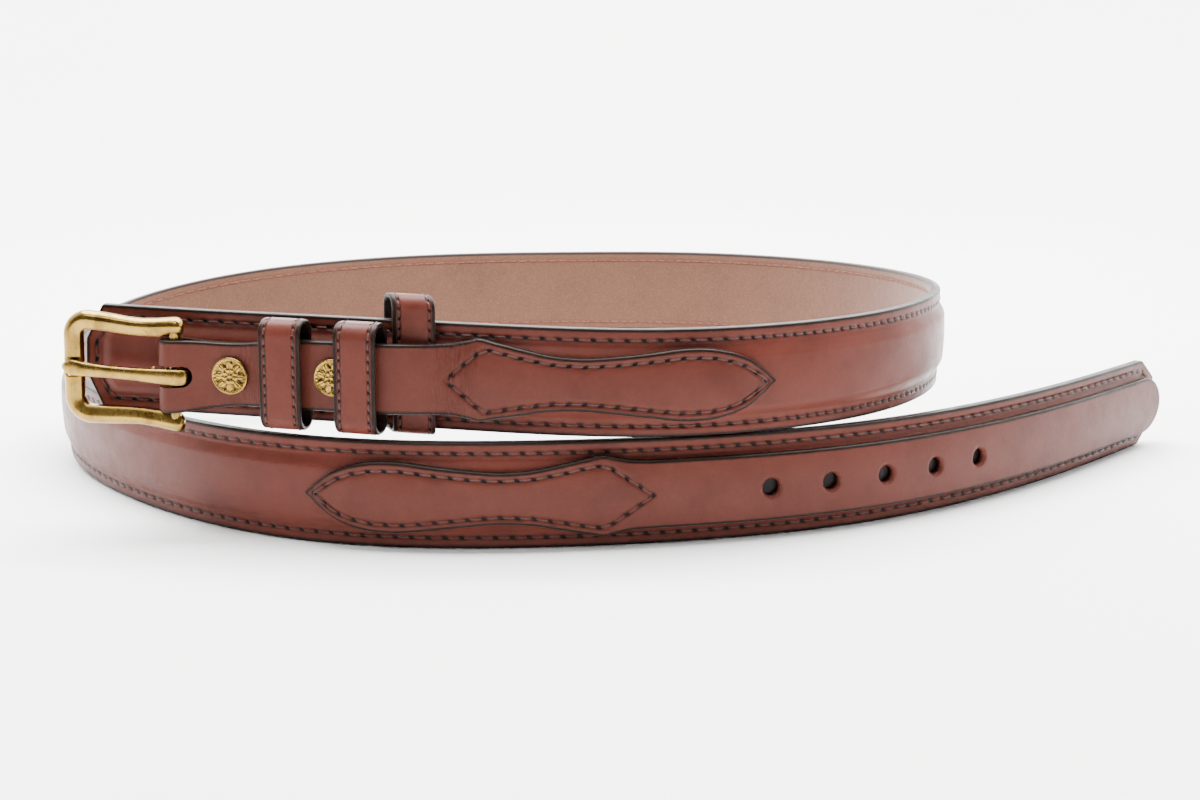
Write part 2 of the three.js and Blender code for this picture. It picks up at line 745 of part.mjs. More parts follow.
// Prong: loop round the heel bar, an arm that ends in the front bar's notch,
// and the small nub left on its upper side by casting
function prong() {
  const loopInner = BAR_RADIUS + PIN_GAP;
  const loopOuter = loopInner + PRONG_LOOP_WALL;
  const armLow = FRAME_THICKNESS / 2 + SLIDE_GAP;
  const notchFloor = FRAME_THICKNESS / 2 - NOTCH_DEPTH + LAYER_GAP;
  const reach = FRAME_REACH - PRONG_TIP_SHORT;
  const rings = PRONG_SHAPE.map((row) => PRONG_OUTLINE.map(([side, level]) => new THREE.Vector3(
    -row.reach * reach,
    side * PRONG_WIDTH * row.width + frameLift(-row.reach * reach),
    armLow - row.dip * (armLow - notchFloor) + (level + 0.5) * PRONG_THICKNESS * row.thick,
  )));
  const loop = manifold.Manifold.cylinder(PRONG_LOOP_WIDTH, loopOuter, loopOuter, 28, true).rotate([90, 0, 0]);
  const bore = manifold.Manifold.cylinder(2 * PRONG_LOOP_WIDTH, loopInner, loopInner, 24, true).rotate([90, 0, 0]);
  const nub = manifold.Manifold.sphere(PRONG_NUB / 2, 8)
    .translate([-PRONG_NUB_FROM_BAR, PRONG_WIDTH / 2, armLow + PRONG_THICKNESS / 2]);
  const body = loop.add(toManifold(ringSolid(rings, PRONG_OUTLINE))).add(nub).subtract(bore);
  return fromManifold(body.transform(buckleMatrix().elements));
}

// Face of a concho. out: share of its radius, rise: share of its thickness,
// petals: share of the rosette's relief
const CONCHO_FACE = [
  { out: 0.96, rise: 0, petals: 0 },
  { out: 1, rise: 0.4, petals: 0 },
  { out: 0.94, rise: 0.9, petals: 0 },
  { out: 0.84, rise: 0.7, petals: 0 },
  { out: 0.66, rise: 0.78, petals: 1 },
  { out: 0.42, rise: 0.8, petals: 0.9 },
  { out: 0.24, rise: 0.78, petals: 0 },
  { out: 0.12, rise: 1, petals: 0 },
];
const SIDES_PER_PETAL = 3;

// Concho screw: disc with a raised rosette, post through both layers, flat back
function concho(distance) {
  const grip = STRAP_LEATHER + LAYER_GAP / 2 + LAYER_GAP;
  const profile = [
    { r: CONCHO_BACK_DIAMETER / 2, z: -grip - CONCHO_BACK_THICKNESS, petals: 0 },
    { r: CONCHO_BACK_DIAMETER / 2, z: -grip, petals: 0 },
    { r: CONCHO_POST / 2, z: -grip, petals: 0 },
    { r: CONCHO_POST / 2, z: grip, petals: 0 },
    ...CONCHO_FACE.map((row) => ({
      r: (row.out * CONCHO_DIAMETER) / 2,
      z: grip + row.rise * CONCHO_THICKNESS,
      petals: row.petals,
    })),
  ];
  const sides = CONCHO_PETALS * SIDES_PER_PETAL;
  const angles = Array.from({ length: sides }, (_, k) => (2 * Math.PI * k) / sides);
  const matrix = beltMatrix(distance, strapCentre(distance), BAR_HEIGHT);
  const rings = profile.map(({ r, z, petals }) => angles.map((angle) => {
    const relief = petals * CONCHO_RELIEF * Math.cos(CONCHO_PETALS * angle);
    return new THREE.Vector3(r * Math.cos(angle), r * Math.sin(angle), z + relief).applyMatrix4(matrix);
  }));
  return ringSolid(rings, angles.map((angle) => [Math.cos(angle), Math.sin(angle)]));
}

// Rounded oblong in the plane across the belt: y up its width, z out
function oblong(bottom, top, low, high, corner, topCorner) {
  const centres = [
    { y: top - topCorner, z: high - topCorner, start: 0, radius: topCorner },
    { y: bottom + corner, z: high - corner, start: 1, radius: corner },
    { y: bottom + corner, z: low + corner, start: 2, radius: corner },
    { y: top - topCorner, z: low + topCorner, start: 3, radius: topCorner },
  ];
  const points = [];
  for (const { y, z, start, radius } of centres) {
    for (let k = 0; k <= 4; k += 1) {
      const angle = (Math.PI / 2) * (start + k / 4);
      points.push([y + radius * Math.cos(angle), z + radius * Math.sin(angle)]);
    }
  }
  return points;
}

// Leather loop: the outline and the same outline moved in by the wall. The
// skew is how much further along the belt the front wall is than the back one
function loopSolid(distance, length, wall, shape) {
  const { bottom, top, low, high, corner, topCorner = corner, skew = 0 } = shape;
  const outer = oblong(bottom, top, low, high, corner, topCorner);
  const inner = oblong(bottom + wall, top - wall, low + wall, high - wall, corner - wall, topCorner - wall);
  const count = outer.length;
  const matrix = beltMatrix(distance, 0, 0);
  const points = [];
  for (const x of [-length / 2, length / 2]) {
    for (const outline of [outer, inner]) {
      for (const [y, z] of outline) {
        const along = x + (skew * (z - (low + high) / 2)) / (high - low);
        points.push(new THREE.Vector3(along, y, z).applyMatrix4(matrix));
      }
    }
  }
  const faces = [];
  const quad = (a, b, c, d) => faces.push([a, b, c], [a, c, d]);
  for (let k = 0; k < count; k += 1) {
    const next = (k + 1) % count;
    quad(k, 2 * count + k, 2 * count + next, next);
    quad(count + next, 3 * count + next, 3 * count + k, count + k);
    quad(next, count + next, count + k, k);
    quad(2 * count + k, 3 * count + k, 3 * count + next, 2 * count + next);
  }
  return solidGeometry(points, faces);
}

// A narrow keeper's back wall lies on the strap's back layer, or on a
// concho's back where one is under it
function narrowKeeper(distance, low) {
  return loopSolid(distance, KEEPER_LENGTH, KEEPER_LEATHER, {
    bottom: MIDDLE - KEEPER_HEIGHT / 2,
    top: MIDDLE + KEEPER_HEIGHT / 2,
    low,
    high: KEEPER_HIGH,
    corner: KEEPER_CORNER,
  });
}

function wideKeeper() {
  const inside = OUTER_LEATHER + LAYER_GAP + LINING_LEATHER + SLIDE_GAP;
  return loopSolid(WIDE_KEEPER_FROM_END, WIDE_KEEPER_LENGTH, WIDE_KEEPER_LEATHER, {
    bottom: -SLIDE_GAP - WIDE_KEEPER_LEATHER,
    top: BELT_WIDTH + WIDE_KEEPER_RISE,
    low: -inside - WIDE_KEEPER_LEATHER,
    high: WIDE_KEEPER_FRONT,
    corner: WIDE_KEEPER_CORNER,
    topCorner: WIDE_KEEPER_TOP_CORNER,
    skew: WIDE_KEEPER_SKEW,
  });
}

const FINISHES = {
  leather: { color: 0x7a2f22, roughness: 0.42, metalness: 0 },
  strap: { color: 0x84342a, roughness: 0.45, metalness: 0 },
  lining: { color: 0x9c6a52, roughness: 0.9, metalness: 0 },
  keeper: { color: 0x6f2a1f, roughness: 0.42, metalness: 0 },
  brass: { color: 0xc9a14a, roughness: 0.3, metalness: 1 },
};

const group = new THREE.Group();
group.name = "ranger_belt";

function addPiece(name, geometry, finish) {
  geometry.computeVertexNormals();
  const mesh = new THREE.Mesh(geometry, new THREE.MeshStandardMaterial(FINISHES[finish]));
  mesh.name = name;
  group.add(mesh);
}

addPiece("belt_outer", beltLayer(outerSection()), "leather");
addPiece("belt_lining", beltLayer(liningSection()), "lining");
addPiece("tip_strap", tipStrap(), "strap");
addPiece("buckle_strap", buckleStrap(), "strap");
addPiece("buckle_frame", buckleFrame(), "brass");
addPiece("prong", prong(), "brass");
addPiece("concho_1", concho(CONCHO_1_FROM_END), "brass");
addPiece("concho_2", concho(CONCHO_2_FROM_END), "brass");
addPiece("keeper_1", narrowKeeper(KEEPER_1_FROM_END, KEEPER_ON_STRAP), "keeper");
addPiece("keeper_2", narrowKeeper(KEEPER_2_FROM_END, KEEPER_LOW), "keeper");
addPiece("wide_keeper", wideKeeper(), "keeper");

// The origin is under the middle of the whole belt, on the floor
const bounds = new THREE.Box3().setFromObject(group, true);
const centre = bounds.getCenter(new THREE.Vector3());
group.position.set(-centre.x, -centre.y, -bounds.min.z);

export default group;
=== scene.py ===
"""Looks of the ranger belt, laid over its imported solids.

Everything is in metres, in the frame of the solids. The belt's pieces are placed
by three strap coordinates: the distance from the wide belt's buckle end, the
height up its width, and how proud a point is of its outer face.
"""

import logging
import math
from dataclasses import dataclass, field
from enum import Enum
from typing import Callable

import bpy
import numpy as np
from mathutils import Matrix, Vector

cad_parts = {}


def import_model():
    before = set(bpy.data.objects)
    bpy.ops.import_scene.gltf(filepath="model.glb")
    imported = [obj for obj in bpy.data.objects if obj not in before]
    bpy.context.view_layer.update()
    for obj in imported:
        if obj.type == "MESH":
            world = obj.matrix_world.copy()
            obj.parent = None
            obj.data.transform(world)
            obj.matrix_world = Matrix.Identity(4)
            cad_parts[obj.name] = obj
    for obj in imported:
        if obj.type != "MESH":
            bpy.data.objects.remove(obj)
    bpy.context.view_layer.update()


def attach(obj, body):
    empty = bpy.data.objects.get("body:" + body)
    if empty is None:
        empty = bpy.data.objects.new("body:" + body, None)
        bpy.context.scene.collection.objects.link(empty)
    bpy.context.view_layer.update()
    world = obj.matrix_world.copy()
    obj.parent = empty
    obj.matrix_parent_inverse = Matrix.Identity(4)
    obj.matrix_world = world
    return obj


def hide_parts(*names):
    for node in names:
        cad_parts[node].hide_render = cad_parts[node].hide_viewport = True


log = logging.getLogger("ranger_belt")
MM = 0.001
Array = np.ndarray
Socket = bpy.types.NodeSocket
Material = bpy.types.Material
Triple = tuple[float, float, float]
Face = Callable[[Array, Array, Array], Array]


# Meshes from arrays


def catmull(values: Array, at: Array, closed: bool = False) -> Array:
    """Smooth curve through evenly counted points.

    Each stretch is the Catmull-Rom cubic of its two ends and their neighbours.

    Args:
        values: points, one row each.
        at: places on the curve, counted in points from the first.
        closed: True if the last point joins the first.

    Returns:
        One row for each place.
    """
    count = len(values)
    first = np.floor(at).astype(int)
    if not closed:
        first = np.clip(first, 0, count - 2)
    x = (at - first).reshape(-1, *([1] * (values.ndim - 1)))
    picks = [first - 1, first, first + 1, first + 2]
    a, b, c, d = (values[p % count] if closed else values[np.clip(p, 0, count - 1)] for p in picks)
    return 0.5 * (2 * b + (c - a) * x + (2 * a - 5 * b + 4 * c - d) * x**2 + (3 * b - a - 3 * c + d) * x**3)


def smooth_table(rows: list[tuple[float, float]], at: Array) -> Array:
    """Value of a two-column table at places between its rows, without corners.

    Args:
        rows: (place, value) pairs in rising order.
        at: places to read.

    Returns:
        The Catmull-Rom cubic through the values, held at both ends.
    """
    table = np.array(rows, float)
    count = np.interp(at, table[:, 0], np.arange(len(table)))
    return catmull(table[:, 1], count.ravel()).reshape(np.shape(at))


def ease(x: Array) -> Array:
    """Smooth step from 0 to 1: three x squared minus two x cubed."""
    x = np.clip(x, 0, 1)
    return x * x * (3 - 2 * x)


def bump(x: Array) -> Array:
    """Bell of height 1 at x = 0: e to the minus x squared."""
    return np.exp(-(x**2))


@dataclass
class Body:
    """A closed surface: points, faces as corner lists, and values on its points."""

    points: Array
    corners: Array
    sizes: Array
    values: dict[str, Array] = field(default_factory=dict)

    @property
    def starts(self) -> Array:
        """Where each face starts in the list of corners."""
        return np.concatenate([[0], np.cumsum(self.sizes)[:-1]])

    def outward(self) -> "Body":
        """Turns the faces outwards, where the volume that they enclose is negative.

        Returns:
            This body. The volume is the sum over fan triangles of the triple
            product of their corners, over six.
        """
        starts = self.starts
        origin = self.points.mean(0)
        volume = 0.0
        for k in range(1, int(self.sizes.max()) - 1):
            rows = starts[self.sizes > k + 1]
            a, b, c = (self.points[self.corners[rows + j]] - origin for j in (0, k, k + 1))
            volume += np.einsum("ij,ij->i", a, np.cross(b, c)).sum()
        if volume < 0:
            order = np.repeat(starts + self.sizes - 1, self.sizes)
            step = np.arange(len(self.corners)) - np.repeat(starts, self.sizes)
            self.corners = self.corners[order - step]
        return self


def grid_quads(rows: int, columns: int, wrap_rows: bool, wrap_columns: bool) -> Array:
    """Corner numbers of the quads of a grid.

    Args:
        rows: rows of points.
        columns: points in a row.
        wrap_rows: True if the last row joins the first.
        wrap_columns: True if the last column joins the first.

    Returns:
        Array of shape (rows of quads, columns of quads, 4).
    """
    r = np.arange(rows if wrap_rows else rows - 1)[:, None]
    c = np.arange(columns if wrap_columns else columns - 1)[None, :]
    up, right = (r + 1) % rows, (c + 1) % columns
    corner = [r * columns + c, r * columns + right, up * columns + right, up * columns + c]
    return np.stack(np.broadcast_arrays(*corner), -1)


def swept(rings: Array, values: dict[str, Array] | None = None, loop: bool = False) -> Body:
    """Closed body through rings of points.

    Args:
        rings: array of shape (rings, points in a ring, 3).
        values: named values with the shape (rings, points in a ring).
        loop: True if the last ring joins the first, else both ends get a cap.

    Returns:
        The body, faces outwards.
    """
    count, across = rings.shape[:2]
    quads = grid_quads(count, across, loop, True).reshape(-1, 4)
    corners, sizes = [quads.ravel()], [np.full(len(quads), 4)]
    if not loop:
        corners += [np.arange(across)[::-1], (count - 1) * across + np.arange(across)]
        sizes += [np.array([across, across])]
    kept = {k: np.asarray(v, float).ravel() for k, v in (values or {}).items()}
    return Body(rings.reshape(-1, 3), np.concatenate(corners), np.concatenate(sizes), kept).outward()


def many_swept(rings: Array) -> Body:
    """Many closed bodies of the same make as one.

    Args:
        rings: array of shape (bodies, rings, points in a ring, 3).

    Returns:
        All of them as one body, each with its caps and faces outwards.
    """
    one = swept(rings[0])
    bodies, count, across = rings.shape[:3]
    starts = np.repeat(np.arange(bodies) * count * across, len(one.corners))
    return Body(rings.reshape(-1, 3), np.tile(one.corners, bodies) + starts, np.tile(one.sizes, bodies))


def joined(bodies: list[Body]) -> Body:
    """Several bodies as one, side by side; a value that one lacks is 0 there.

    Args:
        bodies: the bodies.

    Returns:
        One body with all the points, faces and values.
    """
    starts = np.cumsum([0] + [len(b.points) for b in bodies[:-1]])
    names = sorted({n for b in bodies for n in b.values})
    return Body(
        np.concatenate([b.points for b in bodies]),
        np.concatenate([b.corners + s for b, s in zip(bodies, starts)]),
        np.concatenate([b.sizes for b in bodies]),
        {n: np.concatenate([b.values.get(n, np.zeros(len(b.points))) for b in bodies]) for n in names},
    )


def band(a: Array, b: Array) -> Array:
    """Four-cornered faces between two closed rings of point numbers."""
    return np.stack([a, b, np.roll(b, -1), np.roll(a, -1)], -1)


def dyed(from_edge: Array, reach: float) -> Array:
    """Dye at distances from a cut edge, gone at a reach in millimetres."""
    return np.clip(reach - from_edge / MM, 0, 1)


def mesh_object(name: str, body: Body, material: Material, sharp: float = 50) -> bpy.types.Object:
    """Puts a body into the scene as a smooth mesh with its values as attributes.

    Args:
        name: the piece's name.
        body: its surface.
        material: its finish.
        sharp: edges that turn more than this many degrees stay crisp.

    Returns:
        The object, at the origin.
    """
    mesh = bpy.data.meshes.new(name)
    mesh.vertices.add(len(body.points))
    mesh.vertices.foreach_set("co", np.ascontiguousarray(body.points, np.float32).ravel())
    mesh.loops.add(len(body.corners))
    mesh.loops.foreach_set("vertex_index", body.corners.astype(np.int32))
    mesh.polygons.add(len(body.sizes))
    mesh.polygons.foreach_set("loop_start", body.starts.astype(np.int32))
    mesh.update(calc_edges=True)
    mesh.validate()
    for key, value in body.values.items():
        mesh.attributes.new(key, "FLOAT", "POINT").data.foreach_set("value", value.astype(np.float32))
    mesh.materials.append(material)
    mesh.shade_smooth()
    mesh.set_sharp_from_angle(angle=math.radians(sharp))
    piece = bpy.data.objects.new(name, mesh)
    bpy.context.scene.collection.objects.link(piece)
    return piece


# The belt's route and strap coordinates


@dataclass(frozen=True)
class Coil:
    """Route of the belt, a cubic curve drawn to a few bends.

    The bends are shares of the coil's half length, half depth and turn height,
    from the buckle end to the tip.
    """

    half_length: float = 240 * MM
    half_depth: float = 120 * MM
    turn_height: float = 38.4 * MM
    lead_in: float = 17 * MM
    lead_out: float = 18 * MM
    shift: tuple[float, float] = (-6.406 * MM, -6.607 * MM)
    samples: int = 8000
    bends: tuple[tuple[float, float, float], ...] = (
        (-1.09, -0.725, 1.25),
        (-0.85, -0.63, 1.165),
        (-0.615, -0.66, 1.08),
        (-0.385, -0.75, 1.06),
        (-0.155, -0.86, 1.035),
        (0.08, -0.9, 0.995),
        (0.31, -0.755, 1.0),
        (0.495, -0.475, 1.02),
        (0.605, -0.02, 1.05),
        (0.555, 0.465, 1.04),
        (0.395, 0.815, 1.045),
        (0.175, 1.01, 1.045),
        (-0.06, 1.06, 1.02),
        (-0.295, 1.06, 1.005),
        (-0.525, 1.005, 0.945),
        (-0.76, 0.945, 0.785),
        (-0.98, 0.77, 0.44),
        (-0.99, 0.245, 0.09),
        (-0.87, -0.15, 0),
        (-0.71, -0.51, 0),
        (-0.525, -0.795, 0),
        (-0.305, -0.935, 0),
        (-0.06, -0.92, 0),
        (0.175, -0.84, 0),
        (0.395, -0.69, 0),
        (0.59, -0.44, 0),
        (0.77, -0.13, 0),
        (0.935, 0.215, 0),
        (1.09, 0.56, 0),
        (1.235, 0.885, 0),
    )

    def __post_init__(self) -> None:
        """Samples the cubic B-spline of the bends and its length so far."""
        bends = np.array(self.bends) * [self.half_length, self.half_depth, self.turn_height]
        at = np.linspace(0, len(bends) - 3, self.samples + 1)
        first = np.minimum(at.astype(int), len(bends) - 4)
        x = (at - first)[:, None]
        a, b, c, d = (bends[first + k] for k in range(4))
        points = (
            (1 - x) ** 3 * a
            + (3 * x**3 - 6 * x**2 + 4) * b
            + (-3 * x**3 + 3 * x**2 + 3 * x + 1) * c
            + x**3 * d
        ) / 6
        points[:, :2] += self.shift
        lengths = np.concatenate([[0], np.cumsum(np.linalg.norm(np.diff(points, axis=0), axis=1))])
        object.__setattr__(self, "points", points)
        object.__setattr__(self, "lengths", lengths - self.lead_in)

    @property
    def belt_length(self) -> float:
        """Length of the wide belt along the route."""
        return float(self.lengths[-1]) - self.lead_out

    def at(self, distance: Array) -> Array:
        """Points of the route at distances from the buckle end."""
        return np.stack([np.interp(distance, self.lengths, self.points[:, k]) for k in range(3)], -1)

    def axes(self, distance: Array) -> tuple[Array, Array, Array]:
        """Directions along the belt, up its width and out of its face.

        Args:
            distance: distances from the buckle end.

        Returns:
            Three arrays of unit vectors. Out is level and square to the belt.
        """
        step = 2 * MM
        along = self.at(distance + step) - self.at(distance - step)
        along /= np.linalg.norm(along, axis=-1, keepdims=True)
        out = np.stack([along[..., 1], -along[..., 0], np.zeros_like(along[..., 0])], -1)
        out /= np.linalg.norm(out, axis=-1, keepdims=True)
        return along, np.cross(out, along), out

    def place(self, distance: Array, height: Array, proud: Array) -> Array:
        """Points from strap coordinates.

        Args:
            distance: distance from the wide belt's buckle end.
            height: height up the belt's width.
            proud: how far the point stands out of the outer face.

        Returns:
            Route point plus height times up plus proud times out.
        """
        distance, height, proud = np.broadcast_arrays(distance, height, proud)
        _, up, out = self.axes(distance)
        return self.at(distance) + up * height[..., None] + out * proud[..., None]

    def carried(self, distance: float, height: float, proud: float, points: Array) -> Array:
        """Points of a rigid piece, from its own axes to the frame.

        Args:
            distance: strap coordinate of the piece's origin.
            height: strap coordinate of the piece's origin.
            proud: strap coordinate of the piece's origin.
            points: x along the belt, y up its width, z out of its face.

        Returns:
            The points in the frame.
        """
        spot = np.array([distance])
        basis = np.stack([a[0] for a in self.axes(spot)])
        flat = points.reshape(-1, 3) @ basis + self.place(spot, height, proud)[0]
        return flat.reshape(points.shape)


COIL = Coil()


# Finishes


def linear(tone: str) -> tuple[float, float, float, float]:
    """Colour of a six-figure tone such as 7a3a2c, as light values with alpha 1."""
    parts = [int(tone[k : k + 2], 16) / 255 for k in (0, 2, 4)]
    return (*[c / 12.92 if c <= 0.04045 else ((c + 0.055) / 1.055) ** 2.4 for c in parts], 1.0)


class Nodes:
    """Short hand for a material's node tree."""

    def __init__(self, name: str) -> None:
        """Makes the material with its shader.

        Args:
            name: the finish's name.
        """
        self.material = bpy.data.materials.new(name)
        self.material.use_nodes = True
        self.tree = self.material.node_tree
        self.shader = self.tree.nodes["Principled BSDF"]
        self.object_space = self.add("ShaderNodeTexCoord").outputs["Object"]

    def add(self, kind: str, **settings: object) -> bpy.types.Node:
        """A new node with its settings.

        Args:
            kind: the node's type name.
            **settings: attributes to set on it.

        Returns:
            The node.
        """
        node = self.tree.nodes.new(kind)
        for key, value in settings.items():
            setattr(node, key, value)
        return node

    def link(self, source: object, target: Socket) -> None:
        """Feeds a socket with another, or with a plain value."""
        if isinstance(source, Socket):
            self.tree.links.new(source, target)
        else:
            target.default_value = source

    def value(self, name: str) -> Socket:
        """Socket of a value kept on the piece's points."""
        return self.add("ShaderNodeAttribute", attribute_name=name).outputs["Fac"]

    def maths(self, operation: str, a: object, b: object = 0.0, c: object = 0.0) -> Socket:
        """One sum.

        Args:
            operation: the Math node's operation.
            a: first input.
            b: second input.
            c: third input.

        Returns:
            Its result.
        """
        node = self.add("ShaderNodeMath", operation=operation)
        for socket, source in zip(node.inputs, (a, b, c)):
            self.link(source, socket)
        return node.outputs[0]

    def step(
        self, source: object, low: float, high: float, to_low: float = 0.0, to_high: float = 1.0
    ) -> Socket:
        """Smooth step of a value.

        Args:
            source: the value.
            low: where the step starts.
            high: where it ends.
            to_low: result before it.
            to_high: result after it.

        Returns:
            The result.
        """
        node = self.add("ShaderNodeMapRange", interpolation_type="SMOOTHSTEP")
        for socket, item in zip(node.inputs, (source, low, high, to_low, to_high)):
            self.link(item, socket)
        return node.outputs[0]

    def noise(self, scale: float, detail: float, roughness: float, stretch: Triple | None = None) -> Socket:
        """Noise on object coordinates.

        Args:
            scale: features in a metre.
            detail: octaves.
            roughness: strength of the finer octaves.
            stretch: scale of each axis, if they differ.

        Returns:
            Its value from 0 to 1.
        """
        node = self.add("ShaderNodeTexNoise")
        source = self.object_space
        if stretch:
            mapping = self.add("ShaderNodeMapping")
            mapping.inputs["Scale"].default_value = stretch
            self.link(source, mapping.inputs["Vector"])
            source = mapping.outputs[0]
        self.link(source, node.inputs["Vector"])
        for key, item in (("Scale", scale), ("Detail", detail), ("Roughness", roughness)):
            node.inputs[key].default_value = item
        return node.outputs["Fac"]

    def cells(self, scale: float) -> Socket:
        """Distance from the nearest middle in a field of cells.

        Args:
            scale: cells in a metre of object coordinates.

        Returns:
            The distance.
        """
        node = self.add("ShaderNodeTexVoronoi")
        self.link(self.object_space, node.inputs["Vector"])
        node.inputs["Scale"].default_value = scale
        return node.outputs["Distance"]

    def mix(self, share: object, a: object, b: object) -> Socket:
        """Colour between two others.

        Args:
            share: 0 for a, 1 for b.
            a: first colour.
            b: second colour.

        Returns:
            The colour.
        """
        node = self.add("ShaderNodeMix", data_type="RGBA")
        self.link(share, node.inputs["Factor"])
        self.link(a, node.inputs[6])
        self.link(b, node.inputs[7])
        return node.outputs[2]

    def times(self, a: object, b: object) -> Socket:
        """Product of two values."""
        return self.maths("MULTIPLY", a, b)

    def tinted(self, colour: object, tone: str, share: object) -> Socket:
        """Colour moved towards a tone by a share."""
        return self.mix(share, colour, linear(tone))

    def sunk(self, height: object, depth: float, below: Socket) -> Socket:
        """Relief that goes down where a value is 1, laid on another."""
        return self.raised(self.maths("SUBTRACT", 1.0, height), depth, below)

    def raised(self, height: object, depth: float, below: Socket | None = None) -> Socket:
        """Relief from a height.

        Args:
            height: value from 0 to 1.
            depth: its depth in metres.
            below: relief that this one lies on.

        Returns:
            The normal.
        """
        node = self.add("ShaderNodeBump")
        node.inputs["Distance"].default_value = depth
        self.link(height, node.inputs["Height"])
        if below is not None:
            self.link(below, node.inputs["Normal"])
        return node.outputs[0]

    def finish(self, colour: object, roughness: object, normal: object = None, **sockets: object) -> Material:
        """Feeds the shader.

        Args:
            colour: base colour.
            roughness: roughness.
            normal: relief, if any.
            **sockets: plain values for other sockets, spaces as underscores.

        Returns:
            The material.
        """
        self.link(colour, self.shader.inputs["Base Color"])
        self.link(roughness, self.shader.inputs["Roughness"])
        if normal is not None:
            self.link(normal, self.shader.inputs["Normal"])
        for key, item in sockets.items():
            self.shader.inputs[key.replace("_", " ")].default_value = item
        return self.material


@dataclass(frozen=True)
class PolishedLeather:
    """Red-brown polished leather with dyed edges, needle holes and creases; the shade in the needle holes and
    round them is painted into its colour.

    It reads these values on its points: dye (1 at a dyed edge), seam (distance
    from the nearest seam, in millimetres), stitch (stitches counted along it)
    and crease (how creased the leather is).
    """

    name: str = "polished_leather"
    body: str = "572a22"
    deep: str = "47211a"
    pale: str = "69392f"
    edge: str = "1a100c"
    # Near-black tone painted into the needle holes as the shade inside them.
    hole: str = "120706"
    roughness: float = 0.35
    gloss: float = 0.09
    coat: float = 0.02
    hole_half_length: float = 0.2
    hole_half_width: float = 0.6
    hole_slant: float = -0.2
    coat_roughness: float = 0.22

    def build(self) -> Material:
        """Makes the material.

        Returns:
            Mottled colour, darker along seams, with painted shade in the needle holes and round them, fine
            grain and worn gloss.
        """
        n = Nodes(self.name)
        clouds = n.noise(45, 5, 0.6)
        grain = n.noise(900, 3, 0.6)
        pores = n.cells(1500)
        colour = n.mix(n.step(clouds, 0.1, 0.62), linear(self.deep), linear(self.body))
        colour = n.tinted(colour, self.pale, n.times(n.step(n.noise(110, 5, 0.65), 0.5, 0.85), 0.2))
        colour = n.tinted(colour, self.deep, n.times(n.step(grain, 0.35, 0.65), 0.16))
        seam = n.value("seam")
        turn = n.maths("FRACT", n.maths("ADD", n.value("stitch"), 0.5))
        along = n.maths("DIVIDE", n.maths("SUBTRACT", turn, 0.5), self.hole_half_length)
        slant = n.maths("MULTIPLY_ADD", along, self.hole_slant, seam)
        across = n.maths("DIVIDE", slant, self.hole_half_width)
        square = n.maths("ADD", n.times(along, along), n.times(across, across))
        reach = n.maths("SQRT", square)
        # Painted shade: each needle hole is an oval painted near black, with sunk relief but no real opening.
        hole = n.step(reach, 1.15, 0.75)
        # The pucker is a real dimple in the relief; its darker ring in the colour is painted shade.
        pucker_and_painted_shade = n.step(reach, 2.2, 0.8)
        groove = n.step(n.maths("ABSOLUTE", seam), 1.5, 0.2)
        colour = n.tinted(colour, self.deep, n.times(groove, 0.35))
        # Painted shade in the dimple round each needle hole.
        colour = n.tinted(colour, self.edge, n.times(pucker_and_painted_shade, 0.4))
        dye = n.value("dye")
        worn = n.times(n.step(n.noise(260, 4, 0.6), 0.3, 0.62), n.step(dye, 0.15, 0.6))
        dyed = n.maths("MAXIMUM", n.step(dye, 0.45, 0.85), n.times(worn, 0.55))
        colour = n.tinted(colour, self.edge, dyed)
        # Painted shade inside the needle holes.
        colour = n.tinted(colour, self.hole, hole)
        wear = n.step(n.noise(120, 5, 0.7), 0.35, 0.75, self.roughness - 0.05, self.roughness + 0.1)
        streaks = n.noise(330, 3, 0.55, stretch=(3.4, 3.4, 0.55))
        crease_lines = n.times(n.step(streaks, 0.35, 0.65), n.value("crease"))
        normal = n.raised(grain, 0.00006)
        normal = n.raised(n.step(pores, 0.1, 0.5), 0.00003, normal)
        normal = n.raised(crease_lines, 0.0004, normal)
        normal = n.sunk(groove, 0.00025, normal)
        normal = n.sunk(pucker_and_painted_shade, 0.0002, normal)
        normal = n.sunk(hole, 0.0006, normal)
        return n.finish(
            colour,
            wear,
            normal,
            Specular_IOR_Level=self.gloss,
            Coat_Weight=self.coat,
            Coat_Roughness=self.coat_roughness,
        )


@dataclass(frozen=True)
class SuedeLining:
    """Tan flesh side of the lining, with a nap and a burnished edge."""

    name: str = "suede_lining"
    nap: str = "674432"
    shade: str = "573729"
    fleck: str = "7e5640"
    edge: str = "2c1c18"

    def build(self) -> Material:
        """Makes the material.

        Returns:
            Matt, mottled and softly fibrous, dark at the dyed edge.
        """
        n = Nodes(self.name)
        patches = n.noise(55, 5, 0.62)
        fibres = n.noise(1300, 4, 0.7)
        colour = n.mix(n.step(patches, 0.05, 0.6), linear(self.shade), linear(self.nap))
        colour = n.tinted(colour, self.fleck, n.times(n.step(n.noise(1000, 4, 0.7), 0.45, 0.7), 0.45))
        colour = n.tinted(colour, self.shade, n.times(n.step(fibres, 0.52, 0.38), 0.5))
        groove = n.step(n.maths("ABSOLUTE", n.value("seam")), 0.9, 0.2)
        colour = n.tinted(colour, self.shade, n.times(groove, 0.5))
        colour = n.tinted(colour, self.edge, n.step(n.value("dye"), 0.35, 0.8))
        normal = n.raised(fibres, 0.00016)
        normal = n.raised(n.noise(300, 4, 0.6), 0.0002, normal)
        normal = n.sunk(groove, 0.0003, normal)
        return n.finish(colour, 0.92, normal, Specular_IOR_Level=0.2, Sheen_Weight=0.25, Sheen_Roughness=0.6)


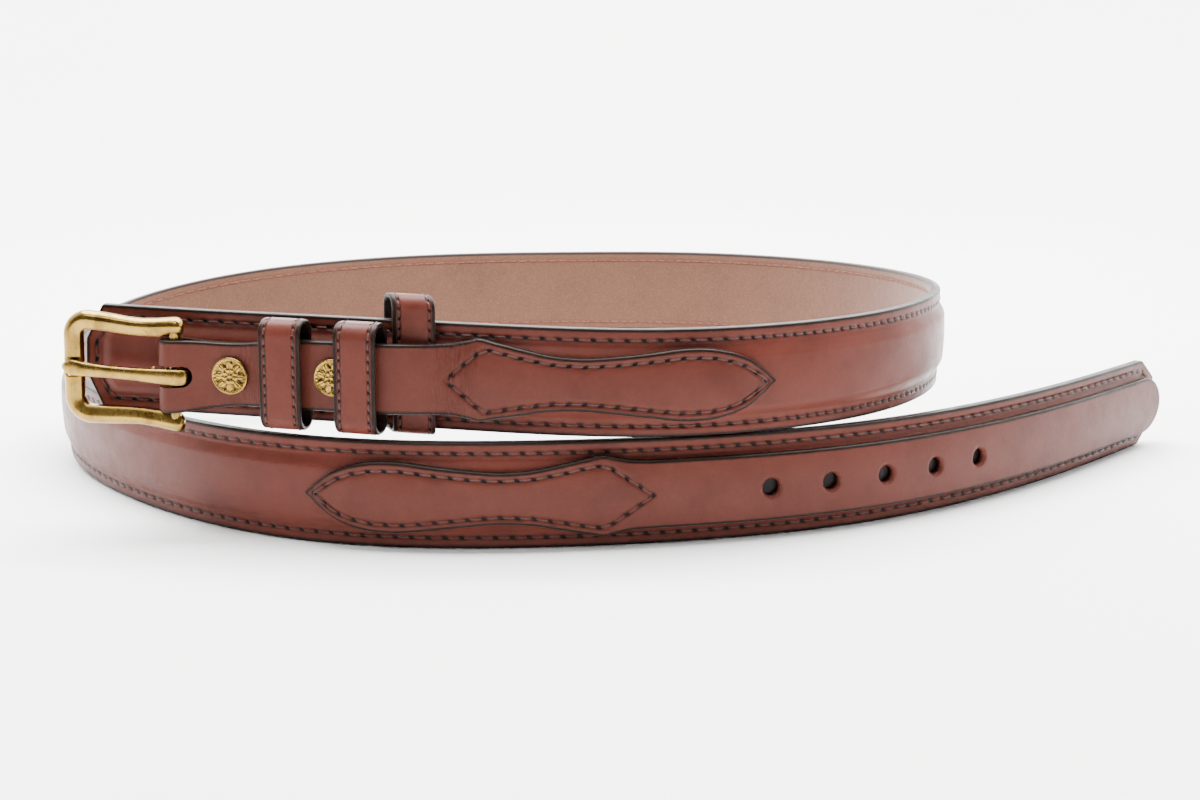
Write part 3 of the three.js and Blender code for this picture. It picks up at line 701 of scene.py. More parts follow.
@dataclass(frozen=True)
class SewingThread:
    """Waxed thread, twisted."""

    name: str
    tone: str
    shade: str
    roughness: float = 0.55

    def build(self) -> Material:
        """Makes the material.

        Returns:
            Thread with fine plies along it.
        """
        n = Nodes(self.name)
        plies = n.noise(1500, 2, 0.5)
        colour = n.mix(n.step(plies, 0.35, 0.65), linear(self.shade), linear(self.tone))
        return n.finish(colour, self.roughness, n.raised(plies, 0.0001), Specular_IOR_Level=0.4)


@dataclass(frozen=True)
class CastBrass:
    """Solid brass: polished slopes, fine brushing and tarnish in the hollows."""

    name: str = "cast_brass"
    bright: str = "987a3c"
    deep: str = "6e5528"
    tarnish: str = "3c2e17"
    roughness: float = 0.17
    brushed: float = 0.09

    def build(self) -> Material:
        """Makes the material.

        Returns:
            Metal whose roughness follows fine scratches and whose hollows,
            where the value hollow is 1, are dark.
        """
        n = Nodes(self.name)
        clouds = n.noise(160, 4, 0.6)
        scratches = n.noise(1400, 4, 0.7, (1.0, 1.0, 0.22))
        colour = n.mix(n.step(clouds, 0.25, 0.6), linear(self.deep), linear(self.bright))
        colour = n.tinted(colour, self.deep, n.times(n.step(scratches, 0.5, 0.75), 0.2))
        hollow = n.value("hollow")
        colour = n.tinted(colour, self.tarnish, n.times(n.step(hollow, 0.2, 0.9), 0.8))
        brush = n.maths("MULTIPLY_ADD", n.value("brushed"), self.brushed, self.roughness)
        rough = n.maths("MULTIPLY_ADD", n.step(scratches, 0.3, 0.7), 0.08, brush)
        normal = n.raised(scratches, 0.00002)
        normal = n.raised(n.noise(500, 3, 0.5), 0.00004, normal)
        return n.finish(colour, rough, normal, Metallic=1.0)


@dataclass(frozen=True)
class PaleFloor:
    """Plain pale studio floor, greyer far in front of the object as painted shade for the unlit studio
    towards the camera.
    """

    name: str = "pale_floor"
    tone: str = "f6f6f5"
    mottle: str = "f8f8f7"
    # Grey painted on the floor in front as shade, so that reflections of it are dark.
    front_painted_shade: str = "5a5a5a"
    fade: tuple[float, float] = (-1.1, -0.33)

    def build(self) -> Material:
        """Makes the material.

        Returns:
            Matt and nearly white, barely mottled, and going grey in front as painted shade.
        """
        n = Nodes(self.name)
        colour = n.mix(n.step(n.noise(3, 2, 0.5), 0.3, 0.7), linear(self.tone), linear(self.mottle))
        split = n.add("ShaderNodeSeparateXYZ")
        n.link(n.object_space, split.inputs[0])
        # Painted shade: the floor goes grey towards the camera.
        colour = n.mix(n.step(split.outputs["Y"], *self.fade), linear(self.front_painted_shade), colour)
        return n.finish(colour, 0.85, Specular_IOR_Level=0.2)


# Seams


@dataclass
class Seam:
    """A line of stitches on a flat-laid leather.

    Attributes:
        line: corners of the line, two leather coordinates each.
        pitches: (length along the line, pitch there) pairs in rising order.
        closed: True if the line runs back to its start.
    """

    line: Array
    pitches: list[tuple[float, float]]
    closed: bool = True

    def __post_init__(self) -> None:
        """Lays out lengths and stitch counts at fine steps along the line."""
        self.line = np.asarray(self.line, float)
        if self.closed:
            self.line = np.concatenate([self.line, self.line[:1]])
        spans = np.linalg.norm(np.diff(self.line, axis=0), axis=1)
        self.reach = np.concatenate([[0], np.cumsum(spans)])
        fine = np.linspace(0, self.reach[-1], max(2, int(self.reach[-1] / (0.5 * MM))))
        pitch = np.interp(fine, *np.array(self.pitches).T)
        count = np.concatenate([[0], np.cumsum(np.diff(fine) / pitch[:-1])])
        count *= max(1, round(count[-1])) / count[-1]
        self.fine, self.count = fine, count

    def fields(self, u: Array, v: Array) -> tuple[Array, Array]:
        """Distance from the seam and stitches counted along it.

        Args:
            u: first leather coordinate of the points.
            v: second leather coordinate.

        Returns:
            Signed distance to the nearest segment, positive inside a closed
            line, and the count at the foot of the perpendicular on it.
        """
        best = np.full(np.shape(u), np.inf)
        side, count = np.zeros_like(best), np.zeros_like(best)
        inside = np.zeros(np.shape(u), bool)
        for a, b, start in zip(self.line[:-1], self.line[1:], self.reach[:-1]):
            run = b - a
            length = np.hypot(*run)
            run = run / max(length, 1e-9)
            du, dv = u - a[0], v - a[1]
            foot = np.clip(du * run[0] + dv * run[1], 0, length)
            gap = np.hypot(du - foot * run[0], dv - foot * run[1])
            nearer = gap < best
            sign = np.where(du * -run[1] + dv * run[0] < 0, -1.0, 1.0)
            side = np.where(nearer, gap * sign, side)
            count = np.where(nearer, np.interp(start + foot, self.fine, self.count), count)
            best = np.where(nearer, gap, best)
            if a[1] != b[1]:
                crossed = (a[1] > v) != (b[1] > v)
                inside ^= crossed & (u < a[0] + (v - a[1]) * (b[0] - a[0]) / (b[1] - a[1]))
        if self.closed:
            side = np.where(inside, best, -best)
        return side, count

    def holes(self) -> Array:
        """Leather coordinates of the needle holes, where the count is whole."""
        whole = np.arange(round(self.count[-1]) + (0 if self.closed else 1))
        at = np.interp(whole, self.count, self.fine)
        return np.stack([np.interp(at, self.reach, self.line[:, k]) for k in range(2)], -1)


@dataclass(frozen=True)
class Stitching:
    """Thread of a seam as small sunk stitches from hole to hole."""

    half_width: float = 0.32 * MM
    half_height: float = 0.26 * MM
    rise: float = 0.06 * MM
    sunk: float = 0.42 * MM
    rings: int = 7
    sides: int = 6

    def build(self, seam: Seam, face: Face) -> Body:
        """Sews a seam.

        Each stitch is a flattened tube on a low arch: its height over the
        leather is the sine of the way from hole to hole.

        Args:
            seam: where the holes are.
            face: leather coordinates and lift to points.

        Returns:
            All its stitches.
        """
        holes = seam.holes()
        start, end = holes, np.roll(holes, -1, axis=0)
        if not seam.closed:
            start, end = start[:-1], end[:-1]
        share = np.linspace(0.03, 0.97, self.rings)
        way = start[:, None] + (end - start)[:, None] * share[None, :, None]
        arch = np.sin(np.pi * share) ** 0.7
        lift = np.broadcast_to(-self.sunk + (self.sunk + self.rise) * arch, way.shape[:2])
        middle = face(way[..., 0], way[..., 1], lift)
        over = face(way[..., 0], way[..., 1], lift + 0.5 * MM)
        normal = over - middle
        normal /= np.linalg.norm(normal, axis=-1, keepdims=True)
        run = middle[:, -1:] - middle[:, :1]
        side = np.cross(run, normal)
        side /= np.linalg.norm(side, axis=-1, keepdims=True)
        angle = 2 * np.pi * np.arange(self.sides) / self.sides
        full = (0.55 + 0.45 * arch)[None, :, None, None]
        ring = (
            side[:, :, None] * (np.cos(angle) * self.half_width)[None, None, :, None]
            + normal[:, :, None] * (np.sin(angle) * self.half_height)[None, None, :, None]
        )
        return many_swept(middle[:, :, None] + ring * full)


# The wide belt


@dataclass(frozen=True)
class WideBelt:
    """Padded outer leather and suede lining, sewn together round their outline."""

    width: float = 38.1 * MM
    outer: float = 2.0 * MM
    lining: float = 1.6 * MM
    gap: float = 0.3 * MM
    pad_rise: float = 2.4 * MM
    pad_margin: float = 6.0 * MM
    pad_slope: float = 5.0 * MM
    edge_round: float = 0.7 * MM
    buckle_cut: tuple[float, float] = (6 * MM, 13 * MM)
    tip_cut: tuple[float, float] = (13 * MM, 9 * MM)
    end_fade: float = 32 * MM
    seam_inset: float = 4.0 * MM
    coarse_pitch: float = 5.9 * MM
    fine_pitch: float = 4.2 * MM
    back_pitch: float = 5.0 * MM
    ring_step: float = 2.2 * MM
    under_hole: float = 8 * MM
    dye_reach: float = 1.75

    @property
    def length(self) -> float:
        """Length along the coil."""
        return COIL.belt_length

    @property
    def half(self) -> float:
        """Half the width."""
        return self.width / 2

    def pad(self, distance: Array, across: Array) -> Array:
        """Height of the padding over the flat face.

        The edge rises as a sine of the way up the slope, the middle is a low
        parabola, and both fade out inside the seam at the belt's ends.

        Args:
            distance: distance from the buckle end.
            across: height from the belt's middle line.

        Returns:
            How proud the face is.
        """
        pad_half = self.half - self.pad_margin
        slope = np.clip((pad_half - np.abs(across)) / self.pad_slope, 0, 1)
        from_end = np.minimum(distance, self.length - distance)
        end = np.clip((from_end - self.pad_margin) / self.pad_slope, 0, 1)
        crown = np.clip(1 - (across / (pad_half - self.pad_slope)) ** 2, 0, 1)
        rise = 0.88 * np.sin(np.pi / 2 * slope) ** 1.25 + 0.12 * crown
        return self.pad_rise * rise * np.sin(np.pi / 2 * end) ** 1.25

    def end_shift(self, distance: Array, across: Array) -> Array:
        """How far a ring's point moves along the belt for the clipped corners.

        Args:
            distance: the ring's distance from the buckle end.
            across: height from the middle line.

        Returns:
            The shift, which fades out along the belt.
        """
        from_edge = self.half - np.abs(across)
        start = self.buckle_cut[0] * np.maximum(0, 1 - from_edge / self.buckle_cut[1])
        end = self.tip_cut[0] * np.maximum(0, 1 - from_edge / self.tip_cut[1])
        to_tip = self.length - distance
        near_buckle = np.maximum(0, 1 - distance / self.end_fade)
        near_tip = np.maximum(0, 1 - to_tip / self.end_fade)
        return start * near_buckle - end * near_tip

    def seam(self) -> Seam:
        """Seam round the outline, from the buckle end along the top.

        Returns:
            The seam in distance and height from the middle line.
        """
        row = self.half - self.seam_inset
        b, t, e = self.buckle_cut, self.tip_cut, self.length
        inset = self.seam_inset
        near = [(inset, self.half - b[1] - 1.2 * MM), (b[0] + 3.3 * MM, row)]
        far = [(e - t[0] - 1.3 * MM, row), (e - inset, self.half - t[1] - 2.2 * MM)]
        upper = near + far
        line = upper + [(u, -v) for u, v in reversed(upper)]
        marks = [(0, self.coarse_pitch), (0.24, self.coarse_pitch), (0.245, self.fine_pitch)]
        marks += [(0.55, self.fine_pitch), (0.58, self.back_pitch), (0.89, self.back_pitch)]
        marks += [(0.92, self.coarse_pitch), (e, self.coarse_pitch)]
        other = [(2 * e - at, pitch) for at, pitch in reversed(marks)]
        return Seam(np.array(line), marks + other)

    def rings(self) -> Array:
        """Distances of the rings, closer together at the ends."""
        tight = [0, 0.15, 0.5, 1, 2, 3, 4, 5, 6, 6.7, 7.4, 8.1, 8.8, 9.5, 10.2, 11, 12.5, 14, 16, 18]
        near = np.array(tight) * MM
        middle = np.linspace(20 * MM, self.length - 20 * MM, int((self.length - 40 * MM) / self.ring_step))
        return np.concatenate([near, middle, self.length - near[::-1]])

    def face(self, distance: Array, across: Array, lift: Array) -> Array:
        """Points over the padded face, in distance, height and lift."""
        return COIL.place(distance, self.half + across, self.pad(distance, across) + lift)

    def lining_face(self, distance: Array, across: Array, lift: Array) -> Array:
        """Points over the lining's free side, in distance, height and lift."""
        back = -self.outer - self.gap - self.lining
        return COIL.place(distance, self.half + across, back - lift)

    def layer(self, section: Array, padded: Array) -> Body:
        """One leather layer along the coil.

        Args:
            section: points (height from the middle, proud) round the layer.
            padded: share of the padding that each point takes.

        Returns:
            The body, with the values dye, seam and stitch.
        """
        s = self.rings()[:, None]
        h, n = section[None, :, 0], section[None, :, 1]
        from_end = np.minimum(s, self.length - s)
        tuck = np.maximum(0, 1 - from_end / (0.5 * MM)) ** 2 * 0.3 * MM
        middle = (section[:, 1].max() + section[:, 1].min()) / 2
        h = h * (1 - tuck / self.half)
        n = middle + (n - middle) * (1 - tuck / MM)
        shift = self.end_shift(s, h)
        flat = s + shift
        points = COIL.place(flat, self.half + h, n + padded[None] * self.pad(s, h))
        dye = dyed(np.minimum(self.half - np.abs(h), from_end), self.dye_reach)
        side, count = self.seam().fields(flat, np.broadcast_to(h, flat.shape))
        for hole in TIP.hole_distances():
            under = np.hypot(s - hole, h) < self.under_hole
            side, count = np.where(under, 0.0, side), np.where(under, 0.0, count)
        crease = np.zeros_like(flat)
        return swept(points, {"dye": dye, "seam": side / MM, "stitch": count, "crease": crease})

    def outer_section(self) -> tuple[Array, Array]:
        """Section of the outer leather.

        Returns:
            Points round it, and the share of the padding each takes.
        """
        r, half = self.edge_round, self.half
        turn = np.linspace(0, np.pi / 2, 5)
        lower = np.stack([-half + r - r * np.cos(turn), -r + r * np.sin(turn)], -1)
        span = np.concatenate(
            [
                np.linspace(-half + r, -half + self.pad_margin, 8)[1:],
                np.linspace(-half + self.pad_margin, -half + self.pad_margin + self.pad_slope, 9)[1:],
                np.linspace(-half + self.pad_margin + self.pad_slope, 0, 6)[1:],
            ]
        )
        span = np.concatenate([span, -span[-2::-1]])
        face = np.stack([span, np.zeros_like(span)], -1)
        upper = lower[::-1] * [-1, 1]
        low = -self.outer - self.gap / 2
        knees = np.array([half, half - self.tip_cut[1], half - self.buckle_cut[1]])
        back = np.concatenate([knees, -knees[::-1]])
        back = np.stack([back, np.full_like(back, low)], -1)
        section = np.concatenate([lower, face, upper, back])
        share = np.concatenate([np.zeros(5), np.ones(len(face)), np.zeros(5), np.zeros(len(back))])
        return section, share

    def lining_section(self) -> tuple[Array, Array]:
        """Section of the lining.

        Returns:
            Points round it, and a row of zeros, since it has no padding.
        """
        r, half = self.edge_round * 0.8, self.half
        front = -self.outer - self.gap * 0.62
        back = -self.outer - self.gap - self.lining
        turn = np.linspace(0, np.pi / 2, 5)
        corner = np.stack([half - r + r * np.cos(turn), back + r - r * np.sin(turn)], -1)
        knees = np.array([half, half - self.tip_cut[1], half - self.buckle_cut[1]])
        front_row = np.concatenate([-knees, knees[::-1]])
        across = np.concatenate([np.linspace(half - r, half - 6 * MM, 12)[1:], knees[2:], [3 * MM]])
        across = np.concatenate([across, -across[::-1]])
        section = np.concatenate(
            [
                np.stack([front_row, np.full_like(front_row, front)], -1),
                corner,
                np.stack([across, np.full_like(across, back)], -1),
                (corner * [-1, 1])[::-1],
            ]
        )
        return section, np.zeros(len(section))

    def build(
        self, leather: Material, suede: Material, thread: Material, pale_thread: Material
    ) -> None:
        """Makes the two layers and the seam on both sides.

        Args:
            leather: finish of the outer leather.
            suede: finish of the lining.
            thread: finish of the thread on the outer face.
            pale_thread: finish of the thread on the lining.
        """
        section, share = self.outer_section()
        cushion = mesh_object("belt_leather", self.layer(section, share), leather)
        place_piece(cushion, "straps", "leather", "belt_outer")
        section, share = self.lining_section()
        lining = mesh_object("belt_suede", self.layer(section, share), suede)
        place_piece(lining, "straps", "lining", "belt_lining")
        seam = self.seam()
        face = Stitching().build(seam, self.face)
        place_piece(mesh_object("belt_seam", face, thread), "straps", "leather")
        coarse = Stitching(half_width=0.36 * MM, half_height=0.28 * MM, rise=0.12 * MM)
        inside = coarse.build(seam, self.lining_face)
        place_piece(mesh_object("lining_seam", inside, pale_thread), "straps", "lining")


BELT = WideBelt()
SEAT = BELT.pad_rise + 0.3 * MM


def place_piece(piece: bpy.types.Object, body: str, slot: str, *nodes: str) -> None:
    """Hands a finished piece to the frame.

    Args:
        piece: the object.
        body: the body that it moves with.
        slot: not used.
        *nodes: the solids that it stands for.
    """
    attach(piece, body)
    if nodes:
        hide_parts(*nodes)
    log.info("%s: %d faces on %s", piece.name, len(piece.data.polygons), body)


# Narrow straps


SCALLOP = [
    (0.0, 0.04),
    (0.035, 0.32),
    (0.09, 0.68),
    (0.145, 0.89),
    (0.215, 1.02),
    (0.3, 1.03),
    (0.4, 0.92),
    (0.5, 0.82),
    (0.6, 0.75),
    (0.7, 0.8),
    (0.8, 0.97),
    (0.87, 1.1),
    (0.92, 1.19),
    (0.95, 1.12),
    (1.0, 1.03),
    (1.07, 1.0),
]

SCALLOP_SEAM = [
    (0.09, 0.43),
    (0.145, 0.64),
    (0.215, 0.77),
    (0.3, 0.78),
    (0.4, 0.68),
    (0.5, 0.58),
    (0.6, 0.52),
    (0.7, 0.56),
    (0.8, 0.72),
    (0.87, 0.85),
]


@dataclass(frozen=True)
class SewnEnd:
    """Scalloped end of a narrow strap: pointed, bellied, waisted and flared."""

    length: float = 113 * MM
    strap_half: float = 12.3 * MM
    point_inset: float = 3.2 * MM
    flare: float = 102 * MM
    diamond: float = 115 * MM
    pitch: float = 5.6 * MM

    def half(self, from_point: Array) -> Array:
        """Half width at distances from the point."""
        share = np.asarray(from_point) / self.length
        return np.where(share > 1.07, 1.0, smooth_table(SCALLOP, share)) * self.strap_half

    def seam(self) -> Seam:
        """Seam inside the outline, closed by a diamond past the flare.

        Returns:
            The seam in distance from the point and height from the middle.
        """
        side = [(a * self.length, b * self.strap_half) for a, b in SCALLOP_SEAM]
        side += [(self.flare, 0.92 * self.strap_half)]
        lower = [(u, -v) for u, v in reversed(side)]
        line = [(self.point_inset, 0.0), *side, (self.diamond, 0.0), *lower]
        return Seam(np.array(line), [(0, self.pitch), (1, self.pitch)])


@dataclass(frozen=True)
class StrapLeather:
    """Section and surface shared by both narrow straps."""

    half: float = 12.3 * MM
    thickness: float = 2.6 * MM
    crown: float = 0.9 * MM
    seam_depth: float = 0.22 * MM
    seam_reach: float = 1.1 * MM
    skived: float = 0.45
    skive_length: float = 14 * MM
    dye_reach: float = 1.7
    dye_at_point: float = 1.4 * MM
    back: tuple[float, ...] = (1.0, 9.0, 0.0, 0.0)

    def sides(self, fine_to: float, fine_step: float) -> Array:
        """Shares of the half width across the face.

        Args:
            fine_to: share up to which the columns are evenly fine.
            fine_step: their step.

        Returns:
            Rising values from -1 to 1.
        """
        inner = np.arange(0, fine_to + fine_step / 2, fine_step)
        outer = np.concatenate([np.linspace(inner[-1], 0.9, 6)[1:], [0.935, 0.965, 0.985, 0.996, 1.0]])
        positive = np.concatenate([inner, outer])
        return np.concatenate([-positive[:0:-1], positive])

    def levels(self, sides: Array) -> Array:
        """Height of the face's columns as shares of the thickness.

        The edge is a quarter ellipse, so the level falls from 1 over the last
        tenth of the half width.
        """
        from_edge = np.clip((1 - np.abs(sides)) / 0.065, 0, 1)
        return 1 - 0.3 * (1 - np.sqrt(np.clip(1 - (1 - from_edge) ** 2, 0, 1)))

    def pulled(self, side: Array) -> Array:
        """How far the thread pulls the face in, a bell across the seam."""
        return self.seam_depth * bump(side / self.seam_reach)

    def drop(self, across: Array) -> Array:
        """How far the strap falls to its edges, a parabola over the padding."""
        return self.crown * (across / self.half) ** 2

    def skive(self, from_point: Array) -> Array:
        """Share of the thickness that is left near the scalloped point."""
        return self.skived + (1 - self.skived) * ease(from_point / self.skive_length)

    def values(self, dye: Array, side: Array, count: Array, crease: Array) -> dict[str, Array]:
        """Values on the rings of a strap, with a dyed and plain back.

        Args:
            dye: dye on the face.
            side: distance from the seam in metres.
            count: stitches counted along the seam.
            crease: how creased the face is.

        Returns:
            The named values, front columns first.
        """
        face = {"dye": dye, "seam": side / MM, "stitch": count, "crease": crease}
        return {
            name: np.concatenate([value, np.full_like(value, plain)], axis=1)
            for (name, value), plain in zip(face.items(), self.back)
        }


STRAP = StrapLeather()


class StrapGrid:
    """Grid round a strap: its front columns, then its back ones mirrored."""

    def __init__(self, rows: int, columns: int) -> None:
        """Lays out the faces.

        Args:
            rows: number of rings.
            columns: points across the front, and as many across the back.
        """
        self.rows, self.around = rows, 2 * columns
        self.quads = grid_quads(rows, self.around, False, True)
        self.keep = np.ones(self.quads.shape[:2], bool)

    def cut(self, r0: int, r1: int, c0: int, c1: int) -> tuple[Array, Array, Array, Array]:
        """Cuts a block out of the front, and the same one out of the back.

        Args:
            r0: first row of the points round it.
            r1: last row.
            c0: first column.
            c1: last column.

        Returns:
            Rows and columns of the points round the block in order, and their
            numbers on the front and on the back.
        """
        last, tall, wide = self.around - 1, r1 - r0, c1 - c0
        self.keep[r0:r1, c0:c1] = False
        self.keep[r0:r1, last - c1 : last - c0] = False
        r = [np.arange(r0, r1), np.full(wide, r1), np.arange(r1, r0, -1), np.full(wide, r0)]
        c = [np.full(tall, c0), np.arange(c0, c1), np.full(tall, c1), np.arange(c1, c0, -1)]
        r, c = np.concatenate(r), np.concatenate(c)
        return r, c, r * self.around + c, r * self.around + last - c

    def body(self, points: Array, walls: list[Array], values: dict[str, Array]) -> Body:
        """The strap with the walls of its cuts and a cap on both ends.

        Args:
            points: all points, the rings first.
            walls: four-cornered faces of the walls.
            values: values on the points.

        Returns:
            The body, faces outwards.
        """
        faces = np.concatenate([self.quads[self.keep], *walls])
        cap = np.arange(self.around)
        corners = np.concatenate([faces.ravel(), cap[::-1], (self.rows - 1) * self.around + cap])
        sizes = np.concatenate([np.full(len(faces), 4), [self.around, self.around]])
        return Body(points, corners, sizes, values).outward()


@dataclass(frozen=True)
class TipStrap:
    """Tip strap: sewn end, punched holes and a rounded free tip."""

    inset: float = 4 * MM
    length: float = 403.5 * MM
    tip_round: float = 15 * MM
    fullness: float = 2.4
    hole_radius: float = 3.1 * MM
    bevel: float = 1.1 * MM
    hole_pitch: float = 23.5 * MM
    hole_count: int = 5
    last_hole: float = 145.5 * MM
    cells: int = 10
    bevel_dye: float = 0.25
    bore_dye: float = 0.6
    dye_depth: float = 1.5
    sewn: SewnEnd = SewnEnd(flare=104.5 * MM, diamond=121 * MM)

    @property
    def start(self) -> float:
        """Distance of the scalloped point from the wide belt's buckle end."""
        return BELT.length - self.inset - self.length

    @property
    def end(self) -> float:
        """Distance of the free tip."""
        return self.start + self.length

    def hole_distances(self) -> Array:
        """Distances of the holes' middles."""
        return self.end - self.last_hole - np.arange(self.hole_count)[::-1] * self.hole_pitch

    def half(self, distance: Array) -> Array:
        """Half width: the scallop at the start, a superellipse at the tip."""
        past = np.clip((distance - self.end + self.tip_round) / self.tip_round, 0, 1)
        rounded = np.sqrt(np.maximum(1 - past**self.fullness, 1e-4))
        return self.sewn.half(distance - self.start) * rounded

    def top(self, distance: Array, across: Array) -> Array:
        """How proud the strap's face is, puffed between the stitches.

        The strap follows the padding as a parabola and drops along the seam as a bell.

        Args:
            distance: distance from the belt's buckle end.
            across: height from the middle line.

        Returns:
            The face's height.
        """
        side, _ = self.sewn.seam().fields(distance - self.start, across)
        return SEAT - STRAP.drop(across) + STRAP.thickness - STRAP.pulled(side)

    def face(self, from_point: Array, across: Array, lift: Array) -> Array:
        """Points over the sewn end, in distance from its point, height and lift."""
        s = self.start + from_point
        return COIL.place(s, BELT.half + across, self.top(s, across) + lift)

    def rings(self) -> Array:
        """Distances of the rings, fine at the scallop, the holes and the tip."""
        pitch = (self.hole_radius + self.bevel) * 2 / self.cells
        sewn = self.start + np.concatenate([[0, 0.3, 0.7, 1.2], np.arange(2, 124, 1.0)]) * MM
        spots = [sewn]
        at = sewn[-1]
        for hole in self.hole_distances():
            low = hole - self.cells * pitch
            spots.append(np.linspace(at, low, max(3, int((low - at) / (2 * MM))))[1:-1])
            spots.append(low + np.arange(2 * self.cells + 1) * pitch)
            at = spots[-1][-1]
        spots.append(np.linspace(at, self.end - self.tip_round, 40)[1:])
        turn = np.linspace(0, np.pi / 2, 26)[1:]
        spots.append(self.end - self.tip_round * (1 - np.sin(turn)))
        return np.concatenate(spots)

    def warped(self, s: Array, v: Array) -> tuple[Array, Array]:
        """Bends the grid round the holes so that a square block turns round.

        Near a hole a point at square distance q from its middle moves to the
        circle of radius q; the move fades out at twice the hole's size.

        Args:
            s: distances of the grid's points.
            v: heights from the middle line.

        Returns:
            The moved distances and heights.
        """
        size = self.hole_radius + self.bevel
        for hole in self.hole_distances():
            x = s - hole
            q = np.maximum(np.abs(x), np.abs(v))
            r = np.maximum(np.hypot(x, v), 1e-9)
            share = ease(2 - q / size)
            k = 1 + (q / r - 1) * share
            inside = q < 2 * size
            s = np.where(inside, hole + x * k, s)
            v = np.where(inside, v * k, v)
        return s, v

    def build(self, leather: Material, thread: Material) -> None:
        """Makes the strap with its holes, and its seam.

        Args:
            leather: its finish.
            thread: the seam's finish.
        """
        size = self.hole_radius + self.bevel
        cell = 2 * size / self.cells
        sides = STRAP.sides(self.cells * cell / STRAP.half, cell / STRAP.half)
        s0 = self.rings()
        half = self.half(s0)[:, None]
        v0 = sides[None] * half
        s, v = self.warped(np.broadcast_to(s0[:, None], v0.shape), v0)
        level = STRAP.levels(sides)[None]
        low = SEAT - STRAP.drop(v)
        top = low + (self.top(s, v) - low) * STRAP.skive(s - self.start) * level
        front = COIL.place(s, BELT.half + v, top)
        back = COIL.place(s, BELT.half + v, low)
        side, count = self.sewn.seam().fields(s - self.start, v)
        from_ends = np.minimum(s0 - self.start + STRAP.dye_at_point, self.end - s0)[:, None]
        dye = dyed(np.minimum(half - np.abs(v0), from_ends), STRAP.dye_reach)
        values = STRAP.values(dye, side, count, np.zeros_like(v0))
        extra = {name: [value.ravel()] for name, value in values.items()}
        rows, columns = v0.shape
        grid, m = StrapGrid(rows, columns), self.cells
        points, walls = [np.concatenate([front, back[:, ::-1]], axis=1).reshape(-1, 3)], []
        total = len(points[0])
        bore = self.hole_radius / size
        bevel = [
            (1 - (1 - bore) * k, self.bevel / MM * (0.25 * k + 0.75 * k * k))
            for k in (0.2, 0.4, 0.6, 0.8, 1.0)
        ]
        for hole in self.hole_distances():
            r0 = int(np.argmin(np.abs(s0 - (hole - size))))
            c0 = columns // 2 - m // 2
            ring_r, ring_c, rim, foot = grid.cut(r0, r0 + m, c0, c0 + m)
            hs, hv = s[ring_r, ring_c] - hole, v[ring_r, ring_c]
            loops = [rim]
            for share, depth in bevel + [(bore * 0.99, 1.7), (bore, 2.3)]:
                across = hv * share
                base = SEAT - STRAP.drop(across) + STRAP.thickness
                points.append(COIL.place(hole + hs * share, BELT.half + across, base - depth * MM))
                wall_dye = self.bevel_dye if depth < self.dye_depth else self.bore_dye
                for name, value in (("dye", wall_dye), ("seam", 9.0), ("stitch", 0.0), ("crease", 0.0)):
                    extra[name].append(np.full(4 * m, value))
                loops.append(total + np.arange(4 * m))
                total += 4 * m
            loops.append(foot)
            walls += [band(a, b) for a, b in zip(loops[:-1], loops[1:])]
        kept = {name: np.concatenate(parts) for name, parts in extra.items()}
        body = grid.body(np.concatenate(points), walls, kept)
        place_piece(mesh_object("tip_strap_leather", body, leather), "straps", "strap", "tip_strap")
        seam = Stitching().build(self.sewn.seam(), self.face)
        place_piece(mesh_object("tip_strap_seam", seam, thread), "straps", "strap")


TIP = TipStrap()


